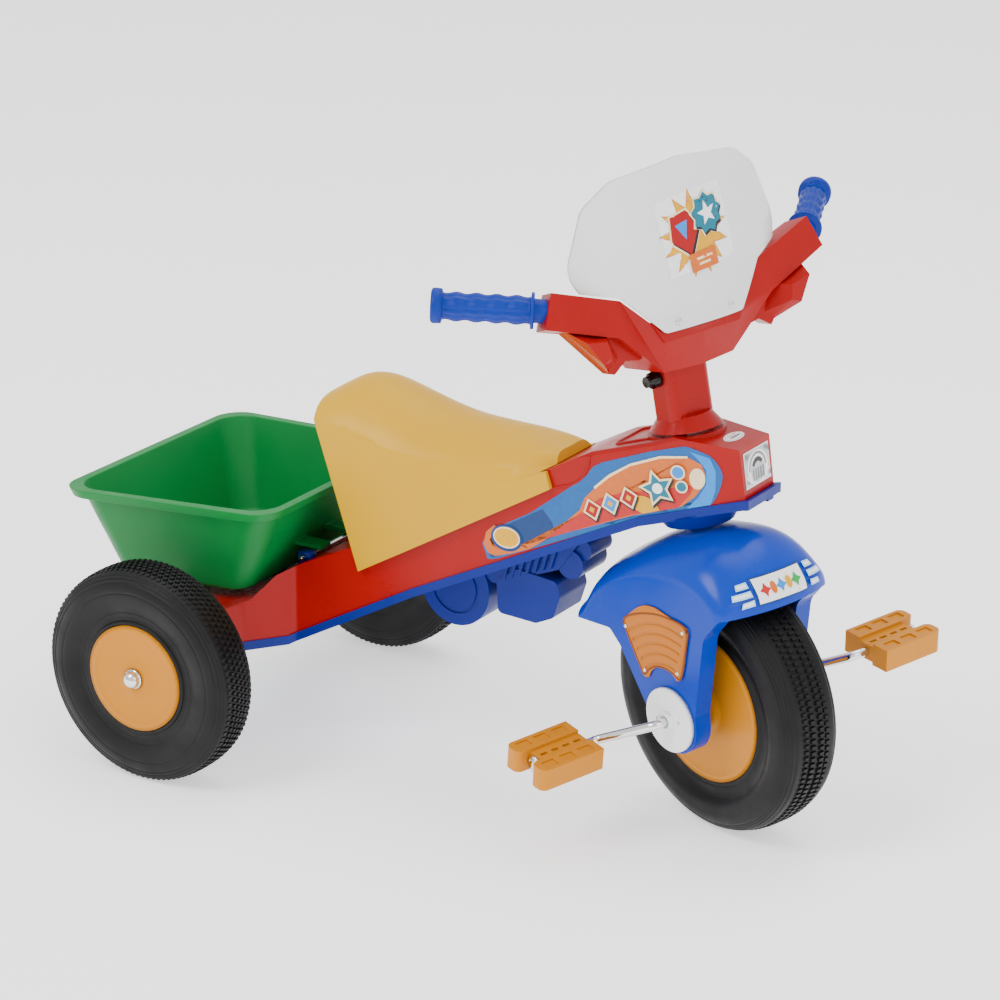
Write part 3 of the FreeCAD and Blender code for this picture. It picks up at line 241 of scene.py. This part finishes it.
INK_SKY = ink("ink_sky", rgb(0.42, 0.66, 0.92))
INK_GREEN = ink("ink_green", rgb(0.01, 0.35, 0.06))


def disc(cx, cy, rx, ry, count=30):
    angles = [2 * math.pi * i / count for i in range(count)]
    return [(cx + rx * math.cos(a), cy + ry * math.sin(a)) for a in angles]


def star(cx, cy, outer, inner, points, start=0.0):
    spikes = []
    for i in range(2 * points):
        reach = outer if i % 2 == 0 else inner
        angle = math.pi * i / points + start
        spikes.append((cx + reach * math.cos(angle), cy + reach * math.sin(angle)))
    return spikes


def placed(points, cx, cy, scale, degrees):
    """A small motif scaled, turned and moved to its place on the label."""
    c, s = math.cos(math.radians(degrees)), math.sin(math.radians(degrees))
    return [(cx + scale * (c * x - s * y), cy + scale * (s * x + c * y)) for x, y in points]


def arch(cx, cy, outer, inner, low, high, count=14):
    """A curved stripe between two angles."""
    angles = [math.radians(low + (high - low) * i / count) for i in range(count + 1)]
    out = [(cx + outer * math.cos(a), cy + outer * math.sin(a)) for a in angles]
    return out + [(cx + inner * math.cos(a), cy + inner * math.sin(a)) for a in reversed(angles)]


def smooth_line(points, per):
    """Catmull-Rom points through a run of 2-D points."""
    line = []
    for i in range(len(points) - 1):
        p0, p1 = points[max(i - 1, 0)], points[i]
        p2, p3 = points[i + 1], points[min(i + 2, len(points) - 1)]
        for k in range(per):
            t = k / per
            line.append(tuple(0.5 * (2 * b + (c - a) * t + (2 * a - 5 * b + 4 * c - d) * t * t
                                     + (3 * b - a - 3 * c + d) * t ** 3)
                              for a, b, c, d in zip(p0, p1, p2, p3)))
    return line + [points[-1]]


def smooth_loop(points):
    """The same through a closed outline."""
    return smooth_line(points + points[:1], 4)[:-1]


def surface(*names):
    """A ray-casting tree of some CAD nodes, in the row frame."""
    verts, faces = [], []
    for name in names:
        mesh, first = NODES[name].data, len(verts)
        verts += [v.co.copy() for v in mesh.vertices]
        faces += [[first + i for i in p.vertices] for p in mesh.polygons]
    return BVHTree.FromPolygons(verts, faces)


def art(name, shapes, matrix, start, aim, tree, step, proud, body):
    """Flat printed shapes pressed onto a surface: cut into a grid, then cast along aim."""
    bm = bmesh.new()
    inks = []
    for layer, (outline, mat) in enumerate(shapes):
        if mat not in inks:
            inks.append(mat)
        face = bm.faces.new([bm.verts.new((u, v, layer)) for u, v in outline])
        face.material_index = inks.index(mat)
    bm.normal_update()
    bmesh.ops.triangulate(bm, faces=bm.faces[:], ngon_method="EAR_CLIP")
    for axis in (0, 1):
        values = [v.co[axis] for v in bm.verts]
        cut = math.floor(min(values) / step) * step
        while cut < max(values):
            normal = Vector((axis == 0, axis == 1, 0))
            bmesh.ops.bisect_plane(bm, geom=bm.verts[:] + bm.edges[:] + bm.faces[:],
                                   plane_co=normal * cut, plane_no=normal)
            cut += step
    aim = (matrix.to_3x3() @ Vector(aim)).normalized()
    for v in bm.verts:
        origin = matrix @ Vector(start(v.co.x, v.co.y))
        point, normal, _, _ = tree.ray_cast(origin, aim)
        if point is None:
            point, normal, _, _ = tree.find_nearest(origin)
        if normal.dot(aim) > 0:
            normal = -normal
        v.co = point + normal * (proud + LAYER_GAP * v.co.z) / 1000
    mesh = bpy.data.meshes.new(name)
    bm.to_mesh(mesh)
    bm.free()
    for mat in inks:
        mesh.materials.append(mat)
    obj = bpy.data.objects.new(name, mesh)
    bpy.context.scene.collection.objects.link(obj)
    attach(obj, body)


# Label outlines along and up the body side, in millimetres of the chassis frame.
LOZENGE = [(-7.5, 0), (0, -8.5), (7.5, 0), (0, 8.5)]
BAND = [(280, 247), (284, 237.5), (292, 233.5), (345, 258), (403, 284), (463, 307), (492, 314.5),
        (505, 319.5), (514, 332), (519.4, 351), (514.5, 363), (505, 370.3), (486, 375), (470, 372),
        (450, 365.3), (424, 355.5), (403, 347), (393, 341), (383, 327), (358, 308), (330, 285.3),
        (300, 266.5), (288, 259)]
SWOOSH = [(293, 268), (284, 259), (281.5, 247), (286, 239), (294, 237), (312, 243), (330, 250.5),
          (348, 264), (366, 283), (381, 298), (386, 311), (396, 322), (411, 336), (431, 350), (460, 362),
          (486, 366), (499, 361), (503.5, 352), (502.5, 342), (494, 329.5), (482, 318.5), (461, 311),
          (434, 302), (412, 292.5), (389, 282.5), (358, 269.5), (334, 257.5), (320, 252), (304, 245),
          (292, 245), (288, 252), (293, 262)]
CORAL_ZONE = [(345, 263), (366, 281.5), (384, 297), (401, 313), (421, 321), (470, 334), (494, 341),
              (489, 330), (478, 316.5), (434, 303), (389, 283)]
CRESCENT = [(488, 371.5), (507, 368), (513, 356), (513, 337), (509, 324), (486, 316.5), (497, 329),
            (504, 342), (504, 356), (496, 365)]
PALE_EDGE = [(396, 321), (411, 335), (431, 349), (460, 361), (486, 365), (486, 367), (460, 363.5),
             (431, 351.5), (410, 337.5), (395, 323)]


def body_art(side):
    """The long side print: blue bands, an orange swoosh, lozenges, a star and dots."""
    shapes = [(smooth_loop(BAND), INK_MID),
              ([(281, 247), (290, 234.5), (330, 251), (356, 268), (353, 281), (343, 292),
                (330, 284.5), (297, 264.5)], INK_NAVY),
              ([(353, 281), (343, 292), (376, 317), (392, 318)], INK_MID),
              (CRESCENT, INK_CYAN), (SWOOSH, INK_ORANGE), (CORAL_ZONE, INK_CORAL),
              (PALE_EDGE, INK_CREAM), (disc(306, 257, 16.5, 13), INK_NAVY),
              (disc(306, 257.5, 14, 10.4), INK_CREAM), (disc(306, 257.5, 12.6, 9), INK_YELLOW),
              (disc(496, 347, 7.5, 10), INK_CREAM),
              (arch(445, 306, 17, 0, 20, 160), INK_YELLOW)]
    for i in range(3):
        x, z = 394 + 18.5 * i, 301 + 9 * i
        shapes.append((placed(LOZENGE, x + 1.5, z - 2, 1.3, 24), INK_BLACK))
        shapes.append((placed(LOZENGE, x, z, 1.3, 24), INK_CREAM))
        shapes.append((placed(LOZENGE, x, z, 0.98, 24), INK_CYAN if i == 1 else INK_RED))
        shapes.append((placed(LOZENGE, x, z, 0.4, 24), INK_YELLOW))
    shapes += [(star(460.5, 331, 18.5, 9.5, 5, 0.7), INK_BLACK),
               (star(459, 333, 18.5, 9.5, 5, 0.7), INK_CREAM),
               (star(459, 333, 14.5, 7.2, 5, 0.7), INK_TEAL), (disc(459, 333, 5, 5), INK_WHITE)]
    for x, z, r in ((478, 351, 5.4), (482, 338, 4.4)):
        shapes.append((disc(x, z, r + 1.6, r + 1.6), INK_CREAM))
        shapes.append((disc(x, z, r, r), INK_TEAL if r < 5 else INK_CYAN))
    art("body_art_" + ("left" if side > 0 else "right"), shapes, CHASSIS,
        lambda u, v: (u, side * 200, v), (0, -side, 0), surface("chassis_upper_shell"), 13,
        LABEL_TOP, "chassis")


def nose_art():
    """A round headlamp with a ribbed grille on the nose, and the oval badge above it."""
    shapes = [([(-22, 342.5), (22, 342.5), (22, 373), (-22, 373)], INK_SILVER),
              ([(-20, 343.5), (20, 343.5), (20, 352), (-20, 352)], INK_WHITE),
              (disc(0, 356.5, 19, 15.5), INK_WHITE), (arch(0, 354, 16.5, 14.2, 5, 175), INK_GREY),
              (disc(0, 354, 12.6, 11), INK_SILVER), (arch(0, 354, 11.6, 7.4, 35, 150), INK_BLACK)]
    for i in range(5):
        y = -9 + 4.5 * i
        shapes.append(([(y - 1.2, 345.5), (y + 1.2, 345.5), (y + 0.8, 356), (y - 0.8, 356)], INK_GREY))
    for side in (-1, 1):
        shapes.append(([(side * 16, 345), (side * 20.5, 345), (side * 20.5, 349)], INK_GREY))
        shapes.append(([(side * 20.5, 366), (side * 20.5, 371.5), (side * 13, 371.5)], INK_GREY))
    art("headlamp_art", shapes, CHASSIS, lambda u, v: (700, u, v), (-1, 0, 0),
        surface("chassis_upper_shell"), 20, LABEL_TOP, "chassis")
    badge = [(disc(0, 513, 13.6, 5.8), INK_SILVER), (disc(0, 513, 12.8, 5.1), INK_WHITE),
             (disc(0.5, 514, 9.5, 1.5), INK_GREY)]
    for i in range(5):
        badge.append((disc(-6 + 3 * i, 510.6, 0.9, 0.8, 10), INK_CORAL))
    art("nose_badge_art", badge, CHASSIS, lambda u, v: (v, u, 600), (0, 0, -1),
        surface("chassis_upper_shell"), 20, LABEL_TOP, "chassis")


def fender_art():
    """A pale plate with small coloured diamonds and ovals, and dashes either side of it."""
    plate = [(-29.5, 111), (29.5, 110), (30, 134.5), (-29, 135)]
    inner = [(-28, 112.3), (28, 111.4), (28.4, 133.2), (-27.6, 133.6)]
    shapes = [(plate, INK_NAVY), (inner, INK_WHITE)]
    motifs = [INK_CORAL, INK_ORANGE, INK_CYAN, INK_YELLOW, INK_GREEN]
    for i, mat in enumerate(motifs):
        y = -18 + 9 * i
        shape = disc(y, 122.6, 3.4, 5.4, 20) if i % 2 else star(y, 122.6, 6.2, 3.2, 4, math.pi / 2)
        shapes.append((shape, mat))
    for side in (-1, 1):
        for i, (length, z) in enumerate(((12, 130), (19, 122.5), (13, 115))):
            y0, y1 = side * 33, side * (33 + length)
            bar = [(y0, z - 2.6), (y1, z - 3.2), (y1 - side * 2, z + 1.6), (y0, z + 2.6)]
            shapes.append((bar, INK_SKY))
            y0, y1 = side * 34.5, side * (31 + length)
            shapes.append(([(y0, z - 1), (y1, z - 1.8), (y1, z + 0.4), (y0, z + 1)], INK_WHITE))
    art("fender_art", shapes, FORK, lambda u, v: (220, u, v), (-1, 0, 0), surface("fork_fender"),
        4, PLATE_TOP, "steering")


def windscreen_art():
    """A clear square film with a yellow burst, a red shield, a teal cog and an orange tab."""
    film = placed([(-39, -35), (35, -35), (39, -31), (39, 31), (35, 35), (-35, 35), (-39, 31)],
                  6, 444, 1.0, 4)
    shield = [(0, -23), (15, -5), (9, 15), (-9, 15), (-15, -5)]
    wedge = [(-7, 5), (7, 5), (0, -11)]
    shapes = [(film, INK_WHITE), (star(4, 441, 40, 24, 13, 0.15), INK_ORANGE),
              (star(4, 441, 38.5, 22.5, 13, 0.15), INK_YELLOW),
              (placed(shield, -9, 445, 1.2, 12), INK_CREAM), (placed(shield, -8, 444, 1.06, 12), INK_BLACK),
              (placed(shield, -9.6, 446, 1.02, 12), INK_RED), (placed(wedge, -10, 448, 1.0, 12), INK_CYAN),
              (star(20, 455, 21, 16.5, 9, 0.2), INK_CREAM), (star(21, 453.5, 19, 15, 9, 0.2), INK_BLACK),
              (star(20, 455.5, 18.6, 14.6, 9, 0.2), INK_TEAL),
              (star(20, 455.5, 11.5, 5, 5, 0.5), INK_WHITE),
              (placed([(-15, -8), (15, -8), (15, 8), (-15, 8)], 8, 416, 1.05, 4), INK_ORANGE)]
    for i in range(2):
        stripe = [(-10 + 2 * i, -1.1), (9 - 3 * i, -1.1), (9 - 3 * i, 1.1), (-10 + 2 * i, 1.1)]
        shapes.append((placed(stripe, 9, 418.5 - 5 * i, 1.0, 4), INK_CREAM))
    art("windscreen_art", shapes, FORK, lambda u, v: (220, u, v), (-1, 0, 0),
        surface("windscreen", "windscreen_label"), 3, FILM_TOP, "steering")


# ---------------------------------------------------------------- wheels
def piece(name, verts, faces, body, mat, smooth=True):
    mesh = bpy.data.meshes.new(name)
    mesh.from_pydata(verts, [], faces)
    bm = bmesh.new()
    bm.from_mesh(mesh)
    bmesh.ops.recalc_face_normals(bm, faces=bm.faces[:])
    bm.to_mesh(mesh)
    bm.free()
    for face in mesh.polygons:
        face.use_smooth = smooth
    mesh.materials.append(mat)
    obj = bpy.data.objects.new(name, mesh)
    bpy.context.scene.collection.objects.link(obj)
    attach(obj, body)
    return obj


def turned_piece(name, outline, count, matrix, centre, body, mat):
    """Revolve a (y, radius) outline about the cross axis through a centre, in millimetres."""
    verts, faces = [], []
    for i in range(count):
        angle = 2 * math.pi * i / count
        for y, r in outline:
            verts.append(matrix @ Vector((centre[0] + r * math.cos(angle), centre[1] + y,
                                          centre[2] + r * math.sin(angle))))
    n = len(outline)
    for i in range(count):
        j = (i + 1) % count
        for k in range(n - 1):
            faces.append((i * n + k, i * n + k + 1, j * n + k + 1, j * n + k))
    return piece(name, verts, faces, body, mat)


def tyre_side(outer, bead, bead_half, bulge, shoulder, tread, grooves):
    """Half outline of a tyre from the bead to the crown, with fine turned grooves."""
    side = outer - bead
    line = smooth_line([
        (bead_half - 6, bead + 1), (bead_half - 1.5, bead), (bead_half - 0.3, bead + 0.05 * side),
        (bead_half - 2.5, bead + 0.14 * side), (bead_half - 1.5, bead + 0.26 * side),
        (bulge - 1, bead + 0.42 * side), (bulge - 0.3, bead + 0.56 * side),
        (bulge - 1.2, bead + 0.70 * side), (shoulder - 0.5, bead + 0.86 * side),
        (tread, bead + 0.945 * side), (0.5 * tread, outer - 2.4), (0, outer - 2)], 12)
    result = []
    for y, r in line:
        part = (r - bead) / side
        depth = sum(d * math.exp(-((part - g) / w) ** 2) for g, d, w in grooves)
        result.append((y - depth * 0.75, r - depth * 0.65))
    return result


def tread_blocks(name, rows, count, matrix, centre, body):
    """Rows of small blocks around the tyre: (y, half-width, foot radius, top radius, length)."""
    verts, faces = [], []
    for row, (y, half, foot, top, length) in enumerate(rows):
        for i in range(count):
            middle = 2 * math.pi * (i + 0.5 * (row % 2)) / count
            first = len(verts)
            for r, grow in ((foot, 1.0), (top, 0.72)):
                swing = grow * length / 2 / top
                for a, b in ((-1, -1), (1, -1), (1, 1), (-1, 1)):
                    angle = middle + a * swing
                    verts.append(matrix @ Vector((centre[0] + r * math.cos(angle),
                                                  centre[1] + y + b * half * grow,
                                                  centre[2] + r * math.sin(angle))))
            for quad in ((4, 5, 6, 7), (0, 1, 5, 4), (1, 2, 6, 5), (2, 3, 7, 6), (3, 0, 4, 7)):
                faces.append(tuple(first + q for q in quad))
    return piece(name, verts, faces, body, TYRE, False)


def tyre(prefix, size, grooves, rows, count, matrix, centre):
    half = tyre_side(*size, grooves)
    outline = half + [(-y, r) for y, r in reversed(half[:-1])]
    body = BODY_OF[prefix + "_tyre"]
    obj = turned_piece(prefix + "_tyre_skin", outline, 180, matrix, centre, body, TYRE)
    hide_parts(prefix + "_tyre")
    tread_blocks(prefix + "_tread", rows, count, matrix, centre, body)


def wheels():
    lines = [(0.05, 0.7, 0.012), (0.30, 0.6, 0.012), (0.335, 0.5, 0.01), (0.80, 0.9, 0.012),
             (0.845, 0.9, 0.012), (0.89, 0.9, 0.012), (0.93, 0.9, 0.01)]
    rows = [(-12.6, 3.0, 120.8, 124.3, 4.0), (-5.0, 3.4, 121.5, 125.0, 4.2),
            (5.0, 3.4, 121.5, 125.0, 4.2), (12.6, 3.0, 120.8, 124.3, 4.0)]
    tyre("front", (125.0, 73.0, 29, 34, 29, 22), lines, rows, 126, FORK, (0, 0, 0))
    lines = [(0.10, 1.0, 0.014), (0.24, 0.9, 0.012), (0.27, 0.8, 0.012), (0.60, 0.7, 0.012),
             (0.79, 1.0, 0.014), (0.86, 0.9, 0.012), (0.91, 0.8, 0.012)]
    rows = [(-15.6, 2.8, 101.6, 105.6, 4.2), (-9.2, 2.6, 103, 106.6, 3.8), (-3, 2.4, 103.5, 106.9, 3.8),
            (3, 2.4, 103.5, 106.9, 3.8), (9.2, 2.6, 103, 106.6, 3.8), (15.6, 2.8, 101.6, 105.6, 4.2)]
    for prefix, side in (("left", 1), ("right", -1)):
        tyre(prefix + "_rear", (REAR_RADIUS, 52.5, 25.5, 27, 23, 19), lines, rows, 104, CHASSIS,
             (0, side * HUB_TRACK, REAR_RADIUS))


# ---------------------------------------------------------------- small moulded details
def tube_along(name, points, radius, matrix, body, mat, closed=False, sides=10):
    """A bead of round section along points given in millimetres."""
    path = [Vector(p) for p in points]
    count = len(path)
    verts, faces = [], []
    for i, p in enumerate(path):
        if closed:
            ahead = (path[(i + 1) % count] - path[i - 1]).normalized()
        else:
            ahead = (path[min(i + 1, count - 1)] - path[max(i - 1, 0)]).normalized()
        across = ahead.cross(Vector((0, 0.03, 1))).normalized()
        up = across.cross(ahead)
        for k in range(sides):
            angle = 2 * math.pi * k / sides
            spot = p + across * radius * math.cos(angle) + up * radius * math.sin(angle)
            verts.append(matrix @ spot)
    for i in range(count if closed else count - 1):
        j = (i + 1) % count
        for k in range(sides):
            m = (k + 1) % sides
            faces.append((i * sides + k, i * sides + m, j * sides + m, j * sides + k))
    if not closed:
        faces.append(tuple(range(sides)))
        faces.append(tuple((count - 1) * sides + k for k in range(sides)))
    return piece(name, verts, faces, body, mat)


def side_half(x):
    """Half-width of the body at a place along it."""
    plan = [(100, 60), (300, 52), (452, 41), (541, 27)]
    for (x0, y0), (x1, y1) in zip(plan, plan[1:]):
        if x <= x1:
            return y0 + (y1 - y0) * (x - x0) / (x1 - x0)
    return plan[-1][1]


def body_beads():
    """Raised edge of the side panel in front of the seat, and the deck tray's rim."""
    line = smooth_line([(390, 352), (389, 343), (384, 331), (374, 322), (362, 317.5), (352, 314)], 5)
    for side, name in ((-1, "right"), (1, "left")):
        tube_along("panel_edge_" + name, [(x, side * (side_half(x) - 0.2), z) for x, z in line],
                   1.3, CHASSIS, "chassis", RED)
    rim = []
    corners = ((404, -22), (408, -27), (446, -24), (450, -19), (450, 19), (446, 24), (408, 27), (404, 22))
    for x, y in corners:
        height = 355 + (x - 390) * 19 / 59
        rim.append((x, y, height + 0.4))
    tube_along("deck_rim", rim, 1.5, CHASSIS, "chassis", RED, closed=True)


def grip(side):
    """Waved and fluted grip with a flange, its neck running back round the bar's bend."""
    end, bend = Vector((-41, 225, 425)), Vector((19, 152, 405.5))
    arm = Vector((20, 87, 383))
    axis = (end - bend).normalized()
    back = (arm - bend).normalized()
    reach = (end - bend).length
    curve = []
    bend_rings = 9
    a, b = bend + back * 8.0, bend + axis * 8.5
    for i in range(bend_rings):
        t = i / (bend_rings - 1)
        curve.append(a * (1 - t) ** 2 + bend * 2 * t * (1 - t) + b * t * t)
    rings = [(p, 10.6, 0.0) for p in curve]
    profile = [(9.3, 10.8, 0), (9.4, 15.6, 0), (9.9, 16.2, 0), (11.8, 16.2, 0), (12.3, 15.4, 0),
               (12.5, 12.3, 0)]
    steps = 52
    for i in range(steps + 1):
        s = 13.5 + (reach - 20 - 1.5) * i / steps
        wave = 0.75 * math.cos(2 * math.pi * (s - 16) / 17.5)
        profile.append((s, 12.3 - wave, 0.45))
    profile += [(reach - 7.4, 12.6, 0), (reach - 6.6, 15.3, 0), (reach + 0.6, 15.6, 0),
                (reach + 2.3, 14.6, 0), (reach + 3, 12.6, 0), (reach + 3, 0.3, 0)]
    rings += [(bend + axis * s, r, flute) for s, r, flute in profile]
    count = 72
    verts, faces = [], []
    for i, (p, r, flute) in enumerate(rings):
        before, after = rings[max(i - 1, 0)][0], rings[min(i + 1, len(rings) - 1)][0]
        ahead = (after - before).normalized() if i < bend_rings and (after - before).length > 0.5 else axis
        across = ahead.cross(Vector((0, 0, 1))).normalized()
        up = across.cross(ahead)
        for k in range(count):
            angle = 2 * math.pi * k / count
            rr = r - flute * (1 + math.cos(12 * angle))
            spot = p + (across * math.cos(angle) + up * math.sin(angle)) * rr
            verts.append(FORK @ Vector((spot.x, side * spot.y, spot.z)))
    for i in range(len(rings) - 1):
        for k in range(count):
            m = (k + 1) % count
            faces.append((i * count + k, i * count + m, (i + 1) * count + m, (i + 1) * count + k))
    name = "left" if side > 0 else "right"
    obj = piece(name + "_grip_skin", verts, faces, "steering", GRIP_BLUE)
    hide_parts(name + "_grip")


def plate_edges():
    """A raised bead round each orange grille plate, coloured in the plate's orange darkened as painted
    shade along its edge.
    """
    outline = [(-48.5, 88), (-44, 93), (-30, 97.5), (-12, 100.5), (8, 101), (28, 98), (40, 94),
               (43.5, 89), (37, 72), (29, 52), (22, 41.5), (14, 46), (4, 49.5), (-8, 50), (-20, 46),
               (-29, 39.5), (-34, 50), (-42, 70)]
    for side, name in ((-1, "right"), (1, "left")):
        tube_along("plate_rim_painted_shade_" + name, [(x, side * 67.6, z) for x, z in smooth_loop(outline)],
                   1.0, FORK, "steering", PLATE_PAINTED_SHADE, closed=True)


NODES["body_labels"].data.materials[0] = INK_MID
for side in (-1, 1):
    body_art(side)
    grip(side)
nose_art()
fender_art()
windscreen_art()
wheels()
body_beads()
plate_edges()


# ---------------------------------------------------------------- floor, light and camera
def pale_floor():
    mat, nodes, links, shader = new_material("floor_paint")
    drift = spread(nodes, links, noise(nodes, links, 1.5), 0.0, 1.0)
    links.new(blend_colours(nodes, links, drift, rgb(0.93, 0.93, 0.93), rgb(0.96, 0.96, 0.96)),
              shader.inputs["Base Color"])
    shader.inputs["Roughness"].default_value = 0.9
    shader.inputs["Emission Color"].default_value = rgb(1.0, 1.0, 1.0)
    shader.inputs["Emission Strength"].default_value = 0.8
    bpy.ops.mesh.primitive_plane_add(size=30, location=(0, 0, -0.0005))
    floor = bpy.context.object
    floor.name = "studio_floor"
    floor.data.materials.append(mat)


def area_light(name, place, size, power, target):
    data = bpy.data.lights.new(name, "AREA")
    data.shape = "DISK"
    data.size = size
    data.energy = power
    lamp = bpy.data.objects.new(name, data)
    lamp.location = place
    lamp.rotation_mode = "QUATERNION"
    lamp.rotation_quaternion = (Vector(target) - Vector(place)).to_track_quat("-Z", "Y")
    bpy.context.scene.collection.objects.link(lamp)


def studio():
    pale_floor()
    area_light("key_light", (-0.9, -2.2, 2.9), 1.6, 62, (0, 0, 0.2))
    area_light("fill_light", (2.8, -1.2, 1.9), 2.2, 26, (0, 0, 0.3))
    area_light("top_light", (0.1, 0.9, 3.0), 2.4, 34, (0, 0, 0.2))
    world = bpy.data.worlds.new("studio_world")
    world.use_nodes = True
    back = world.node_tree.nodes["Background"]
    back.inputs["Color"].default_value = rgb(1.0, 1.0, 1.0)
    back.inputs["Strength"].default_value = 1.2
    bpy.context.scene.world = world


def camera():
    data = bpy.data.cameras.new("photo_camera")
    data.lens = 128.41
    data.sensor_width = 36
    data.shift_x = 0.0086
    data.shift_y = 0.068
    data.clip_start, data.clip_end = 0.1, 60
    cam = bpy.data.objects.new("photo_camera", data)
    right = Vector((0.846634, 0.532143, 0.005907))
    up = Vector((-0.195263, 0.300297, 0.933646))
    back = Vector((0.495059, -0.79161, 0.358149))
    turn = Matrix((right, up, back)).transposed().to_4x4()
    cam.matrix_world = Matrix.Translation((1.689284, -2.690252, 1.417156)) @ turn
    bpy.context.scene.collection.objects.link(cam)
    bpy.context.scene.camera = cam


studio()
camera()
